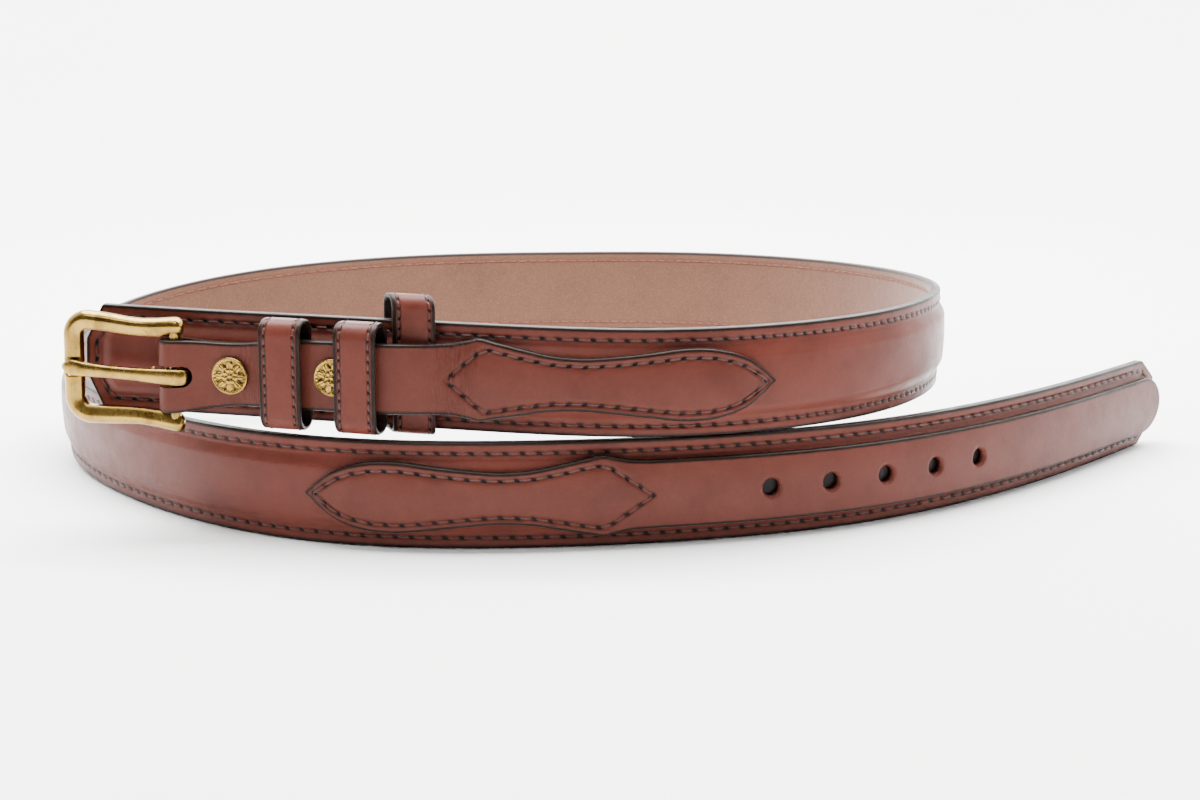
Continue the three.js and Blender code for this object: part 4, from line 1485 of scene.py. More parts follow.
@dataclass(frozen=True)
class BuckleStrap:
    """Buckle strap: sewn end, free front layer, fold round the bar, back layer."""

    point: float = 251.5 * MM
    laid_down: float = 146 * MM
    bar: float = 37.1 * MM
    return_end: float = 111 * MM
    fold_droop: float = 3.2 * MM
    fold_length: float = 14 * MM
    fold_flare: float = 0.8 * MM
    fold_bulge: float = 0.35
    fold_flare_length: float = 10 * MM
    waist_at: float = 63 * MM
    waist_length: float = 13 * MM
    waist_depth: float = 1.1 * MM
    back_height: float = 7.0 * MM
    gap: float = 0.3 * MM
    bar_radius: float = 2.0 * MM
    pin_gap: float = 0.35 * MM
    slot_half: float = 3.6 * MM
    slot_past_bar: float = 8.0 * MM
    back_narrower: float = 0.15 * MM
    creases: tuple[Triple, ...] = ((139, 8, 1.0), (66, 9, 0.45), (104, 7, 0.4))
    concho_1: float = 59.7 * MM
    keeper_1: float = 80.1 * MM
    concho_2: float = 98.2 * MM
    sewn: SewnEnd = SewnEnd()

    @property
    def front_height(self) -> float:
        """Height of the front layer's back over the belt's flat face."""
        return self.back_height + STRAP.thickness + self.gap

    @property
    def bar_height(self) -> float:
        """Height of the heel bar's middle."""
        return self.front_height - self.gap / 2

    @property
    def fold_radius(self) -> float:
        """Inner radius of the fold."""
        return self.bar_radius + self.pin_gap

    def centre(self, distance: Array) -> Array:
        """Height of the strap's middle line, which droops towards the buckle."""
        marks = [self.bar, self.bar + self.fold_length, self.concho_1, self.keeper_1, self.concho_2]
        return BELT.half - self.fold_droop * np.interp(distance, marks, [1, 0.65, 0.45, 0.1, 0])

    def half(self, distance: Array) -> Array:
        """Half width: scalloped at the sewn end, waisted near the buckle."""
        waist = self.waist_depth * bump((distance - self.waist_at) / self.waist_length)
        flare = self.fold_flare * bump((distance - self.bar) / self.fold_flare_length)
        plain = STRAP.half - waist + flare
        from_point = self.point - distance
        return np.where(from_point < self.sewn.length * 1.07, self.sewn.half(from_point), plain)

    def down(self, distance: Array) -> Array:
        """How far the front layer has come down on to the padding, 0 to 1."""
        start = self.return_end + self.gap
        return ease((distance - start) / (self.laid_down - start))

    def path(self) -> tuple[Array, Array, Array, Array]:
        """The strap's line from the sewn point round the fold to the back end.

        Returns:
            Distance, height of the inner side, lean and half width of each ring.
            On the fold they follow a half circle round the heel bar.
        """
        sewn = self.point - np.concatenate([[0, 0.3, 0.7, 1.2], np.arange(2, 122, 1.0)]) * MM
        free = np.linspace(sewn[-1], self.bar + self.slot_past_bar, 80)[1:]
        near = np.linspace(free[-1], self.bar, 14)[1:-1]
        front = np.concatenate([sewn, free, near])
        settle = ease((front - self.bar) / self.fold_length)
        high = self.bar_height + self.fold_radius
        front_proud = self.front_height + (SEAT - self.front_height) * self.down(front)
        at_fold = high + (front_proud - high) * settle
        front_proud = np.where(front < self.bar + self.fold_length, at_fold, front_proud)
        angle = np.linspace(0, np.pi, 25)
        fold_s = self.bar - np.sin(angle) * self.fold_radius
        fold_n = self.bar_height + np.cos(angle) * self.fold_radius
        slot_end = self.bar + self.slot_past_bar
        past_slot = np.linspace(slot_end, self.return_end, 40)[1:]
        back = np.concatenate([np.linspace(self.bar, slot_end, 14)[1:], past_slot])
        settle = ease((back - self.bar) / self.fold_length)
        low = self.bar_height - self.fold_radius
        back_n = low + (self.back_height + STRAP.thickness - low) * settle
        distance = np.concatenate([front, fold_s, back])
        proud = np.concatenate([front_proud, fold_n, back_n])
        lean = np.concatenate([np.zeros_like(front), angle, np.full_like(back, np.pi)])
        fold_half = np.full_like(angle, float(self.half(np.array(self.bar))))
        half = np.concatenate([self.half(front), fold_half, self.half(back) - self.back_narrower])
        return distance, proud, lean, half

    def top(self, distance: Array, across: Array) -> Array:
        """How proud the sewn end's face is.

        Args:
            distance: distance from the belt's buckle end.
            across: height from the strap's middle line.

        Returns:
            The face's height: the strap's line plus its thickness, less the
            crown's parabola and a bell along the seam.
        """
        side, _ = self.sewn.seam().fields(self.point - distance, across)
        down = self.down(distance)
        base = self.front_height + (SEAT - self.front_height) * down
        drop = STRAP.crown * down**3 * (across / STRAP.half) ** 2
        return base - drop + STRAP.thickness - STRAP.pulled(side)

    def face(self, from_point: Array, across: Array, lift: Array) -> Array:
        """Points over the sewn end, in distance from its point, height and lift."""
        s = self.point - from_point
        return COIL.place(s, BELT.half + across, self.top(s, across) + lift)

    def build(self, leather: Material, thread: Material) -> None:
        """Makes the strap with the prong's slot, and its seam.

        Args:
            leather: its finish.
            thread: the seam's finish.
        """
        distance, proud, lean, half = (a[:, None] for a in self.path())
        slot_share = self.slot_half / STRAP.half
        columns_in = 8
        sides = STRAP.sides(slot_share * 2, slot_share / (columns_in // 2))
        reach = (self.bar + self.slot_past_bar - distance) / self.slot_half
        in_slot = (distance <= self.bar + self.slot_past_bar + 1e-9).astype(float)
        round_end = np.sqrt(np.clip(1 - np.clip(1 - reach, 0, 1) ** 2, 0.06, 1))
        squeeze = 1 - (1 - round_end) * in_slot
        away = np.clip((np.abs(sides)[None] - slot_share) / slot_share, 0, 1)
        across = sides[None] * half * (squeeze + (1 - squeeze) * away)
        centre = self.centre(np.maximum(distance, self.bar))
        down = self.down(distance) * (lean < 0.01)
        drop = STRAP.crown * down**3 * (across / STRAP.half) ** 2
        from_point = self.point - distance + 0 * across
        on_front = (lean < 0.01) & (from_point < 140 * MM)
        side, count = self.sewn.seam().fields(np.where(on_front, from_point, 1.0), across)
        skive = STRAP.skive(np.where(on_front, from_point, 1)) + self.fold_bulge * np.sin(lean)
        rise = STRAP.thickness * STRAP.levels(sides)[None] * skive - STRAP.pulled(side) * on_front
        height = proud - drop + np.cos(lean) * rise
        front = COIL.place(distance - np.sin(lean) * rise, centre + across, height)
        back = COIL.place(distance + 0 * across, centre + across, proud - drop)
        from_tip = np.where(on_front, from_point + STRAP.dye_at_point, 1.0)
        dye = dyed(np.minimum(half - np.abs(across), from_tip), STRAP.dye_reach)
        dye[-1] = 1.0
        crease = sum(depth * bump((distance - at * MM) / (reach * MM)) for at, reach, depth in self.creases)
        crease = crease * (lean < 0.01) + 0 * across
        rows, columns = across.shape
        values = STRAP.values(dye, side, count, crease)
        slotted = np.nonzero(in_slot[:, 0])[0]
        centre_column, reach_in = columns // 2, columns_in // 2
        grid = StrapGrid(rows, columns)
        *_, rim, foot = grid.cut(
            slotted[0], slotted[-1], centre_column - reach_in, centre_column + reach_in
        )
        points = np.concatenate([front, back[:, ::-1]], axis=1).reshape(-1, 3)
        flat = {name: value.ravel() for name, value in values.items()}
        body = grid.body(points, [band(rim, foot)], flat)
        place_piece(mesh_object("buckle_strap_leather", body, leather), "straps", "strap", "buckle_strap")
        seam = Stitching().build(self.sewn.seam(), self.face)
        place_piece(mesh_object("buckle_strap_seam", seam, thread), "straps", "strap")


FOLD = BuckleStrap()


# Keepers


class KeeperFit(Enum):
    """What a keeper goes round, as the heights of its lower and upper side."""

    NARROW_STRAP = (BELT.half - 19.6 * MM, BELT.half + 19.6 * MM)
    WHOLE_BELT = (-1.8 * MM, BELT.width + 9.4 * MM)


@dataclass(frozen=True)
class Keeper:
    """Leather loop with a row of stitches along each edge.

    Attributes:
        name: start of its pieces' names.
        node: the solid that it stands for.
        fit: what it goes round.
        distance: its middle's distance from the wide belt's buckle end.
        low: how proud its back is.
        high: how proud its front is.
        skew: how far the front wall stands further along than the back one.
    """

    name: str
    node: str
    fit: KeeperFit
    distance: float
    low: float
    high: float
    length: float = 15.2 * MM
    leather: float = 1.5 * MM
    corner: float = 5.5 * MM
    top_corner: float = 5.5 * MM
    skew: float = 0.0
    edge_round: float = 0.55 * MM
    dye_reach: float = 2.0
    seam_inset: float = 2.3 * MM
    pitch: float = 3.5 * MM
    slit: float = 1.5

    def loop(self) -> Array:
        """The rounded oblong as rows of place round it, middle of bend and angle.

        The rows follow the front wall down, the bottom, the back wall up and
        the top. Each is the length so far, the height and proud of the bend's
        middle, its radius, and the angle of the outward direction, from out of
        the belt (0) down and round.
        """
        r, q = self.corner, self.top_corner
        bottom, top = self.fit.value
        bends = [
            (bottom + r, self.high - r, r, 0.0),
            (bottom + r, self.low + r, r, 0.5 * np.pi),
            (top - q, self.low + q, q, np.pi),
            (top - q, self.high - q, q, 1.5 * np.pi),
        ]
        rows, reach = [], 0.0
        last_h, last_n = top - q, self.high
        for h, n, radius, start in bends:
            first = (h - math.sin(start) * radius, n + math.cos(start) * radius)
            rows.append((reach, last_h, last_n, 0.0, start))
            reach += math.hypot(first[0] - last_h, first[1] - last_n)
            rows.append((reach, *first, 0.0, start))
            for k in range(1, 9):
                angle = start + 0.5 * np.pi * k / 8
                reach += radius * np.pi / 16
                rows.append((reach, h - math.sin(angle) * radius, n + math.cos(angle) * radius, 0.0, angle))
            last_h, last_n = rows[-1][1], rows[-1][2]
        return np.array(rows)

    def perimeter(self) -> float:
        """Length round the outer surface."""
        return float(self.loop()[-1, 0])

    def face(self, way: Array, x: Array, lift: Array) -> Array:
        """Points over the outer surface.

        The leather bulges by a low parabola between its edges. The skew moves
        the front wall along the belt and the back wall the other way.

        Args:
            way: length round the loop.
            x: place along the belt from the keeper's middle.
            lift: height over the surface.

        Returns:
            The points.
        """
        rows = self.loop()
        place = np.mod(way, rows[-1, 0])
        h, n, angle = (np.interp(place, rows[:, 0], rows[:, k]) for k in (1, 2, 4))
        swell = lift - 0.12 * MM * (2 * x / self.length) ** 2
        n = n + np.cos(angle) * swell
        h = h - np.sin(angle) * swell
        x = x + self.skew * (n - (self.low + self.high) / 2) / (self.high - self.low)
        return COIL.carried(self.distance, 0.0, 0.0, np.stack(np.broadcast_arrays(x, h, n), -1))

    def build(self, leather: Material, thread: Material) -> None:
        """Makes the loop and its two rows of stitches.

        Args:
            leather: its finish.
            thread: the rows' finish.
        """
        half, r, wall = self.length / 2, self.edge_round, self.leather
        turn = np.linspace(0, np.pi / 2, 5)
        corner_x, corner_d = half - r + r * np.cos(turn), r - r * np.sin(turn)
        out = np.linspace(half - r, -half + r, 22)[1:-1]
        back = np.linspace(-half + r, half - r, 6)[1:-1]
        xs = np.concatenate([corner_x, out, -corner_x[::-1], -corner_x, back, corner_x[::-1]])
        front_ds = np.concatenate([corner_d, np.zeros_like(out), corner_d[::-1]])
        back_ds = np.concatenate([wall - corner_d, np.full_like(back, wall), (wall - corner_d)[::-1]])
        ds = np.concatenate([front_ds, back_ds])
        ways = np.linspace(0, self.perimeter(), 161)[:-1]
        w, x = np.broadcast_arrays(ways[:, None], xs[None])
        points = self.face(w, x, -ds[None] + 0 * w)
        outer = ds[None] < 0.5 * wall
        dye = np.where(outer, dyed(half - np.abs(x), self.dye_reach), 1.0)
        row = half - self.seam_inset
        pitches = [(0, self.pitch), (1, self.pitch)]
        lines = [np.array([(0, y), (self.perimeter(), y)]) for y in (row, -row)]
        seams = [Seam(line, pitches, closed=False) for line in lines]
        side, count = seams[0].fields(w, np.abs(x))
        side = np.where(outer, self.slit * side / MM, 9.0)
        values = {"dye": dye, "seam": side, "stitch": count, "crease": 0 * side}
        body = swept(points, values, loop=True)
        place_piece(mesh_object(self.name + "_leather", body, leather), "straps", "keeper", self.node)
        stitching = Stitching(half_width=0.36 * MM, half_height=0.26 * MM, rise=0.08 * MM)
        sewn = joined([stitching.build(s, self.face) for s in seams])
        place_piece(mesh_object(self.name + "_seam", sewn, thread, 180), "straps", "keeper")


def keepers() -> list[Keeper]:
    """The two keepers of the strap, and the one round the whole belt."""
    wall, belt_wall, clear = Keeper.leather, 1.3 * MM, 0.3 * MM
    front = SEAT + belt_wall
    high = FOLD.front_height + 2 * (STRAP.thickness + 0.5 * MM) + wall
    behind_strap = FOLD.back_height - clear - wall
    behind_belt = -BELT.outer - BELT.gap - BELT.lining - 1.8 * MM
    narrow, wide = KeeperFit.NARROW_STRAP, KeeperFit.WHOLE_BELT
    shape = {"length": 15.6 * MM, "leather": belt_wall, "corner": 2.4 * MM, "top_corner": 4.8 * MM}
    return [
        Keeper("front_keeper", "keeper_1", narrow, FOLD.keeper_1, behind_strap, high),
        Keeper("rear_keeper", "keeper_2", narrow, 107.8 * MM, front + clear, high),
        Keeper("belt_keeper", "wide_keeper", wide, 121.4 * MM, behind_belt, front, skew=7.2 * MM, **shape),
    ]


# Buckle and screws


FRAME_SECTION = np.array(
    [
        (-0.5, -0.38),
        (-0.5, 0.1),
        (-0.42, 0.3),
        (0.0, 0.5),
        (0.28, 0.4),
        (0.44, 0.14),
        (0.5, -0.16),
        (0.43, -0.42),
        (0.22, -0.5),
        (-0.4, -0.5),
    ]
)

ARM_SHAPE = [
    (0.0, -0.3, 0.5),
    (0.03, -0.3, 0.84),
    (0.08, -0.2, 1.0),
    (0.16, 0.1, 1.0),
    (0.28, 0.6, 0.95),
    (0.45, 1.0, 0.92),
    (0.62, 0.8, 0.94),
    (0.8, 0.3, 0.97),
    (1.0, 0.0, 1.0),
]

PRONG_SHAPE = [
    (0.0, 0.0, 1.0, 0.92),
    (0.12, 0.0, 0.92, 1.0),
    (0.3, 0.0, 0.8, 1.0),
    (0.55, 0.0, 0.76, 1.0),
    (0.76, 0.1, 0.86, 1.0),
    (0.86, 0.7, 0.97, 1.02),
    (0.92, 1.0, 0.95, 0.98),
    (0.965, 1.0, 0.7, 0.8),
    (1.0, 1.0, 0.25, 0.45),
]


@dataclass(frozen=True)
class Buckle:
    """Heel-bar buckle: frame, bar and prong."""

    reach: float = 41.4 * MM
    height: float = 41.2 * MM
    face_width: float = 6.8 * MM
    thickness: float = 4.8 * MM
    corner: float = 9.5 * MM
    knob_reach: float = 3.2 * MM
    knob_round: float = 3.0 * MM
    arm_dip: float = 0.9 * MM
    lift: float = 1.3 * MM
    notch_depth: float = 1.1 * MM
    bar_radius: float = 2.0 * MM
    prong_width: float = 5.8 * MM
    prong_thickness: float = 3.0 * MM
    loop_width: float = 6.2 * MM
    loop_wall: float = 3.2 * MM
    heel: float = 0.7 * MM
    loop_square: float = 3.6
    tip_short: float = 0.6 * MM
    nub: float = 1.8 * MM
    nub_from_bar: float = 6.1 * MM
    slide: float = 0.5 * MM

    def placed(self, points: Array) -> Array:
        """Points from the buckle's own axes, with the heel bar at the origin."""
        return COIL.carried(FOLD.bar, float(FOLD.centre(np.array(FOLD.bar))), FOLD.bar_height, points)

    def lifted(self, x: Array) -> Array:
        """How much higher the buckle is at a place along it, evenly from the bar."""
        return -self.lift * x / self.reach

    def frame_line(self) -> Array:
        """Middle line of the frame with its direction and size.

        Returns:
            Rows of x, y, angle of the outward direction, and size.
        """
        half = (self.height - self.face_width) / 2
        corner = self.corner - self.face_width / 2
        front = -(self.reach - self.face_width / 2)
        share = np.linspace(0, 1, 90) ** 2
        table = np.array(ARM_SHAPE)
        count = np.interp(share, table[:, 0], np.arange(len(table)))
        dip, size = catmull(table[:, 1], count), catmull(table[:, 2], count)
        arm_x = self.knob_reach + share * (front + corner - self.knob_reach)
        arm = np.stack([arm_x, half - dip * self.arm_dip, 0 * share, size], -1)
        angle = np.linspace(0, np.pi / 2, 18)[1:-1]
        turn_x = front + corner - np.sin(angle) * corner
        turn_y = half - corner + np.cos(angle) * corner
        turn = np.stack([turn_x, turn_y, angle, 1 + 0 * angle], -1)
        y = np.linspace(half - corner, 0, 44)
        bar = np.stack([front + 0 * y, y, np.pi / 2 + 0 * y, 1 + 0 * y], -1)
        upper = np.concatenate([arm, turn, bar])
        lower = upper[:-1][::-1] * [1, -1, 1, 1]
        lower[:, 2] = np.pi - lower[:, 2]
        line = np.concatenate([upper, lower])
        line[:, 1] += self.lifted(line[:, 0])
        return line

    def frame(self) -> Body:
        """The bent frame with the notch for the prong.

        The section is carried along the line and turned with it; in the notch
        the face is lowered to a rounded valley.

        Returns:
            The body with the values hollow and brushed.
        """
        line = self.frame_line()
        section = catmull(FRAME_SECTION, np.linspace(0, len(FRAME_SECTION), 41)[:-1], closed=True)
        end = np.clip((self.knob_reach - line[:, 0]) / self.knob_round, 0, 1)
        size = np.where(end < 1, 1.02, line[:, 3]) * np.sqrt(np.clip(1 - (1 - end) ** 2, 0.003, 1))
        outward = np.stack([-np.sin(line[:, 2]), np.cos(line[:, 2])], -1)
        side = section[None, :, 0] * self.face_width * size[:, None]
        z = section[None, :, 1] * self.thickness * size[:, None]
        x = line[:, None, 0] + outward[:, None, 0] * side
        y = line[:, None, 1] + outward[:, None, 1] * side
        floor = self.thickness / 2 - self.notch_depth
        half_notch = self.prong_width / 2 + self.slide
        wall = np.clip((np.abs(y - self.lifted(x)) - half_notch + 0.5 * MM) / (0.7 * MM), 0, 1)
        on_bar = x < -(self.reach - self.face_width) + 1.5 * MM
        valley = np.where(on_bar & (z > floor), floor + (z - floor) * ease(wall), z)
        hollow = np.clip((z - valley) / MM, 0, 1) * 0.6 + 0.25 * (z < -0.3 * self.thickness)
        flat = (section[None, :, 0] < 0.05) & (section[None, :, 1] > 0.0)
        points = self.placed(np.stack([x, y, valley], -1))
        return swept(points, {"hollow": hollow, "brushed": flat + 0 * z})

    def bar(self) -> Body:
        """Heel bar between the arms, slightly waisted in the middle."""
        y = np.linspace(-1, 1, 21) * (self.height - self.face_width) / 2
        angle = np.linspace(0, 2 * np.pi, 33)[:-1]
        r = self.bar_radius * (1 - 0.03 * bump(y / (6 * MM)))
        r = r[:, None]
        ring = np.stack(np.broadcast_arrays(r * np.cos(angle), y[:, None], r * np.sin(angle)), -1)
        even = np.ones(ring.shape[:2])
        return swept(self.placed(ring), {"hollow": 0.35 * even, "brushed": even})

    def prong(self) -> Body:
        """Prong: an arm from the notch over the bar, and its loop round it.

        A rounded section is carried along the arm and on round three quarters
        of a circle about the heel bar.

        Returns:
            The body with the values hollow and brushed.
        """
        inner = self.bar_radius + 0.35 * MM
        arm_low = self.thickness / 2 + self.slide
        drop = arm_low - (self.thickness / 2 - self.notch_depth + 0.3 * MM)
        table = np.array(PRONG_SHAPE)
        count = np.linspace(len(table) - 1, 0, 70)
        reach, dip, width, thick = (catmull(table[:, k], count) for k in range(4))
        arm_x = -reach * (self.reach - self.tip_short)
        arm_z = arm_low - dip * drop + self.prong_thickness * thick / 2
        angle = np.linspace(0, 1.42 * np.pi, 60)[1:]
        square = np.where(angle < np.pi / 2, self.loop_square, 2.0)
        tall = np.where(angle < np.pi / 2, arm_low + self.prong_thickness * 0.92, inner + self.loop_wall)
        far = inner + self.loop_wall + self.heel
        powers = np.abs(np.cos(angle) / tall) ** square + np.abs(np.sin(angle) / far) ** square
        outer = powers ** (-1 / square)
        low = arm_low + (inner - arm_low) * ease(angle / (0.3 * np.pi))
        loop_x, loop_z = np.sin(angle) * (outer + low) / 2, np.cos(angle) * (outer + low) / 2
        x, z = np.concatenate([arm_x, loop_x]), np.concatenate([arm_z, loop_z])
        grow = ease(angle / (0.2 * np.pi))
        loop_wide = self.prong_width + (self.loop_width - self.prong_width) * grow
        wide = np.concatenate([width * self.prong_width, loop_wide])
        deep = np.concatenate([thick * self.prong_thickness, outer - low])
        spoke = np.stack([np.sin(angle), np.cos(angle)], -1)
        run = np.stack([np.gradient(arm_x), np.gradient(arm_z)], -1)
        run /= np.linalg.norm(run, axis=1, keepdims=True)
        normal = np.concatenate([np.stack([-run[:, 1], run[:, 0]], -1), spoke])
        around = np.linspace(0, 2 * np.pi, 29)[:-1]
        power = 0.55
        sec_y = np.sign(np.cos(around)) * np.abs(np.cos(around)) ** power / 2
        sec_d = np.sign(np.sin(around)) * np.abs(np.sin(around)) ** power / 2
        sec_d = np.where(sec_d > 0, sec_d * (1 - 0.25 * (2 * np.abs(sec_y)) ** 3), sec_d)
        px = x[:, None] + normal[:, None, 0] * sec_d[None] * deep[:, None]
        pz = z[:, None] + normal[:, None, 1] * sec_d[None] * deep[:, None]
        py = sec_y[None] * wide[:, None] + self.lifted(np.minimum(x, 0))[:, None]
        points = self.placed(np.stack([px, py, pz], -1))
        hollow = 0.5 * (sec_d[None] < -0.3) + 0 * px
        return swept(points, {"hollow": hollow, "brushed": 0.35 + 0 * px})

    def casting_nub(self) -> Body:
        """Small nub left by casting on the prong's upper side."""
        lat = np.linspace(0.05, np.pi - 0.05, 12)
        lon = np.linspace(0, 2 * np.pi, 17)[:-1]
        r = self.nub / 2
        out, up = r * np.sin(lat)[:, None], r * np.cos(lat)[:, None]
        ring = np.stack(np.broadcast_arrays(out * np.cos(lon), up, out * np.sin(lon)), -1)
        y = self.prong_width * 0.46 + self.lifted(-self.nub_from_bar)
        z = self.thickness / 2 + self.slide + self.prong_thickness / 2
        spot = np.array([-self.nub_from_bar, y, z])
        plain = np.zeros(ring.shape[:2])
        return swept(self.placed(ring + spot), {"hollow": plain, "brushed": plain})

    def build(self, brass: Material) -> None:
        """Makes the frame with its bar, and the prong.

        Args:
            brass: their finish.
        """
        frame = joined([self.frame(), self.bar()])
        place_piece(mesh_object("brass_frame", frame, brass), "frame", "brass", "buckle_frame")
        prong = joined([self.prong(), self.casting_nub()])
        place_piece(mesh_object("brass_prong", prong, brass), "prong", "brass", "prong")


@dataclass(frozen=True)
class Concho:
    """Screw with a cast rosette on its face and a flat back."""

    name: str
    node: str
    distance: float
    diameter: float = 13.2 * MM
    thickness: float = 1.6 * MM
    post: float = 4.0 * MM
    back_diameter: float = 9.0 * MM
    back_thickness: float = 0.6 * MM
    petals: int = 8
    turn: float = 0.0

    def relief(self, share: Array, angle: Array) -> Array:
        """Relief of the face.

        A rounded rim, eight outer petals as rounded cosines, eight inner
        petals between them, a beaded ring and a domed middle.

        Args:
            share: distance from the middle as a share of the radius.
            angle: angle round the face.

        Returns:
            Height in metres over the floor of the face.
        """
        p = self.petals
        rim = 0.5 * bump((share - 0.93) / 0.05)
        lobe = np.abs(np.cos(p * angle / 2)) ** 0.6
        outer = 0.5 * lobe * ease((share - 0.42) / 0.08) * ease((0.5 + 0.33 * lobe - share) / 0.07)
        vein = -0.2 * bump(np.sin(p * angle / 2) * 9 * share) * ease((share - 0.45) / 0.1) * (share < 0.8)
        vein = vein - 0.16 * bump(np.mod(p * angle / (2 * np.pi), 1) * 7 - 3.5) * bump((share - 0.62) / 0.14)
        inner_lobe = np.abs(np.sin(p * angle / 2)) ** 0.7
        inner = 0.42 * inner_lobe * bump((share - 0.32) / 0.1)
        beads = 0.28 * np.abs(np.cos(14 * angle)) * bump((share - 0.85) / 0.035)
        eye = 0.55 * np.sqrt(np.clip(1 - (share / 0.14) ** 2, 0, 1))
        return (rim + outer + vein + inner + beads + eye) * MM

    def build(self, brass: Material) -> None:
        """Makes the screw.

        Args:
            brass: its finish.
        """
        radius = self.diameter / 2
        grip = STRAP.thickness + 0.45 * MM
        angle = np.linspace(0, 2 * np.pi, 193)[:-1]
        shares = np.concatenate([[0.004], np.linspace(0.02, 0.96, 66)])
        floor = grip + self.thickness - 0.62 * MM
        face_z = floor + self.relief(shares[:, None], angle[None] + self.turn)
        face_r = shares[:, None] * radius + 0 * angle[None]
        turn = np.linspace(0, np.pi / 2, 6)
        edge_z = floor + 0.32 * MM - (0.35 * MM) * (1 - np.cos(turn))
        edge = [(0.965 * radius + 0.035 * radius * math.sin(t), z) for t, z in zip(turn, edge_z)]
        tail = edge + [
            (radius, grip + 0.2 * MM),
            (0.985 * radius, grip),
            (self.post / 2, grip),
            (self.post / 2, -grip),
            (self.back_diameter / 2, -grip),
            (self.back_diameter / 2, -grip - self.back_thickness * 0.6),
            (self.back_diameter / 2 - 0.4 * MM, -grip - self.back_thickness),
            (0.02 * MM, -grip - self.back_thickness),
        ]
        tail_r = np.array([t[0] for t in tail])[:, None] + 0 * angle
        tail_z = np.array([t[1] for t in tail])[:, None] + 0 * angle
        r, z = np.concatenate([face_r, tail_r]), np.concatenate([face_z, tail_z])
        ring = np.stack([r * np.cos(angle), r * np.sin(angle), z], -1)
        spot = float(FOLD.centre(np.array(self.distance)))
        points = COIL.carried(self.distance, spot, FOLD.bar_height, ring)
        height = np.concatenate([(face_z - floor) / MM, np.full_like(tail_z, 0.5)])
        hollow = 0.7 * np.clip(1.0 - height / 0.3, 0, 1)
        body = swept(points, {"hollow": hollow, "brushed": 0.4 + 0 * hollow})
        place_piece(mesh_object(self.name, body, brass, 60), "straps", "brass", self.node)


# Studio


@dataclass(frozen=True)
class SoftLight:
    """Soft rectangular light.

    Attributes:
        name: its name.
        place: where it stands.
        size: its width and height.
        power: its power in watts.
        aim: what it faces.
    """

    name: str
    place: Triple
    size: tuple[float, float]
    power: float
    aim: Triple = (0.0, 0.0, 0.03)

    def build(self) -> None:
        """Puts it into the scene."""
        data = bpy.data.lights.new(self.name, "AREA")
        data.shape, data.size, data.size_y = "RECTANGLE", *self.size
        data.energy = self.power
        lamp = bpy.data.objects.new(self.name, data)
        lamp.location = self.place
        gaze = Vector(self.aim) - Vector(self.place)
        lamp.rotation_euler = gaze.to_track_quat("-Z", "Y").to_euler()
        bpy.context.scene.collection.objects.link(lamp)


LIGHTS = (
    SoftLight("top_softbox", place=(0.0, 0.15, 1.1), size=(1.6, 0.8), power=90),
    SoftLight("high_front_softbox", place=(-0.35, -0.8, 1.1), size=(0.9, 0.3), power=7),
    SoftLight("right_softbox", place=(1.2, -0.45, 0.55), size=(0.4, 0.7), power=2),
    SoftLight("backdrop_light", (0.0, 0.75, 1.7), (2.6, 0.5), power=200, aim=(0.0, 2.2, 0.6)),
)


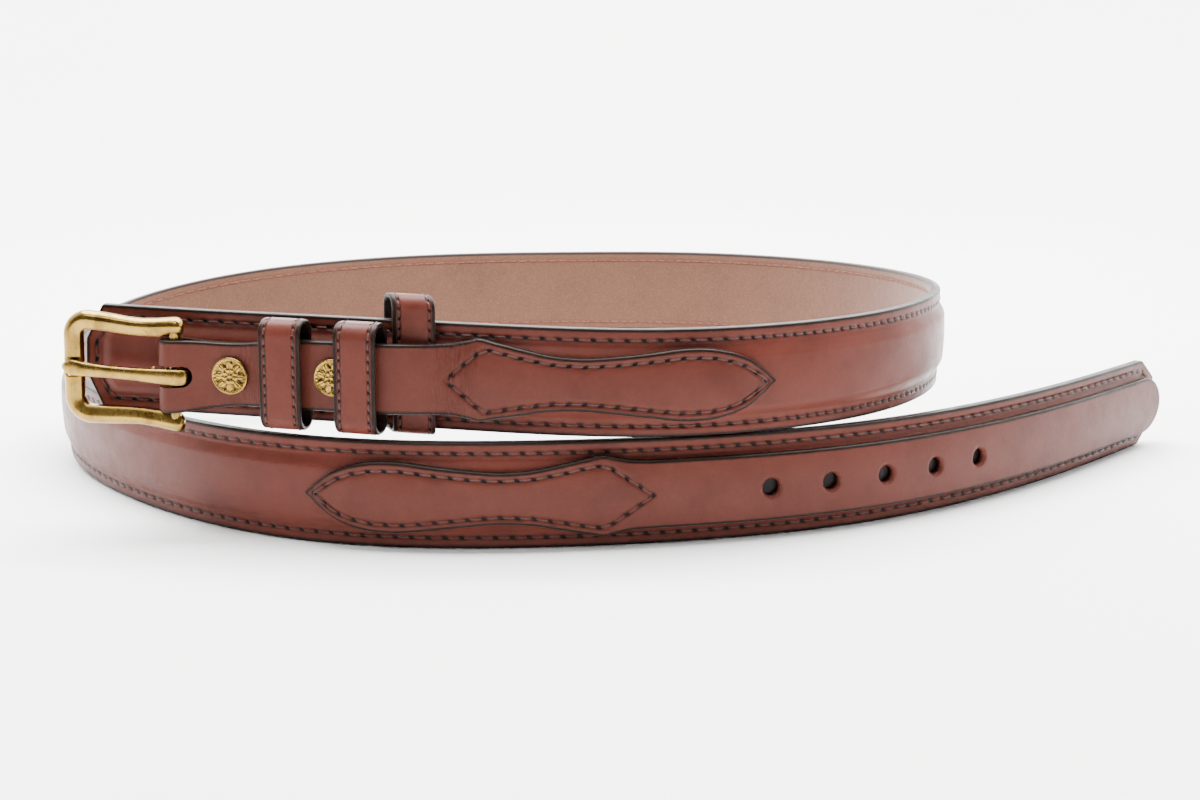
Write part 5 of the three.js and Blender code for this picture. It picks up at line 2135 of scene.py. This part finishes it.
@dataclass(frozen=True)
class Studio:
    """Pale sweep, soft lights and the camera."""

    elevation: float = math.radians(12)
    distance: float = 0.640
    focal_pixels: float = 1537.0
    image_width: float = 1200.0
    look_height: float = 29.7 * MM
    flat_radius: float = 1.3
    bend_radius: float = 0.9
    wall_height: float = 3.2
    below_belt: float = 0.4 * MM
    world_strength: float = 0.02

    def floor(self) -> None:
        """Round floor that curves up into a wall.

        The profile is a line out from the middle, a quarter circle and a line
        up, carried round the middle.
        """
        bend, turn = np.linspace(0, np.pi / 2, 17), np.linspace(0, 2 * np.pi, 97)[:-1]
        flat, round_off = self.flat_radius, self.bend_radius
        r = np.concatenate([[0.6], flat + round_off * np.sin(bend), [flat + round_off]])[:, None]
        z = np.concatenate([[0], round_off * (1 - np.cos(bend)), [self.wall_height]]) - self.below_belt
        points = np.stack(np.broadcast_arrays(r * np.cos(turn), r * np.sin(turn), z[:, None]), -1)
        quads = grid_quads(len(r), len(turn), False, True)[..., ::-1].reshape(-1, 4)
        corners = np.concatenate([quads.ravel(), np.arange(len(turn))])
        sizes = np.concatenate([np.full(len(quads), 4), [len(turn)]])
        body = Body(points.reshape(-1, 3), corners, sizes)
        mesh_object("studio_sweep", body, PaleFloor().build())

    def build(self) -> None:
        """Makes the floor, the lights and the camera."""
        self.floor()
        world = bpy.data.worlds.new("studio_air")
        bpy.context.scene.world = world
        world.use_nodes = True
        air = world.node_tree.nodes["Background"]
        air.inputs["Color"].default_value = linear("ffffff")
        air.inputs["Strength"].default_value = self.world_strength
        for light in LIGHTS:
            light.build()
        data = bpy.data.cameras.new("photo_camera")
        data.sensor_width = 36.0
        data.lens = self.focal_pixels / self.image_width * data.sensor_width
        data.clip_start, data.clip_end = 0.01, 20.0
        camera = bpy.data.objects.new("photo_camera", data)
        gaze = Vector((0, math.cos(self.elevation), -math.sin(self.elevation)))
        camera.location = Vector((*COIL.shift, self.look_height)) - gaze * self.distance
        camera.rotation_euler = gaze.to_track_quat("-Z", "Y").to_euler()
        bpy.context.scene.collection.objects.link(camera)
        bpy.context.scene.camera = camera


def main() -> None:
    """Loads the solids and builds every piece."""
    logging.basicConfig(level=logging.INFO, format="%(message)s")
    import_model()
    Studio().build()
    leather = PolishedLeather().build()
    strap = PolishedLeather("strap_leather", body="522820", deep="431e17").build()
    suede = SuedeLining().build()
    thread = SewingThread("dark_thread", "4a2118", "2c130d").build()
    pale_thread = SewingThread("pale_thread", "8c4a36", "6a3425").build()
    brass = CastBrass().build()
    BELT.build(leather, suede, thread, pale_thread)
    TIP.build(strap, thread)
    FOLD.build(strap, thread)
    for keeper in keepers():
        keeper.build(leather, thread)
    Buckle().build(brass)
    Concho("front_concho", "concho_1", FOLD.concho_1).build(brass)
    Concho("rear_concho", "concho_2", FOLD.concho_2, turn=0.3).build(brass)
    bpy.context.view_layer.update()


if __name__ == "__main__":
    main()
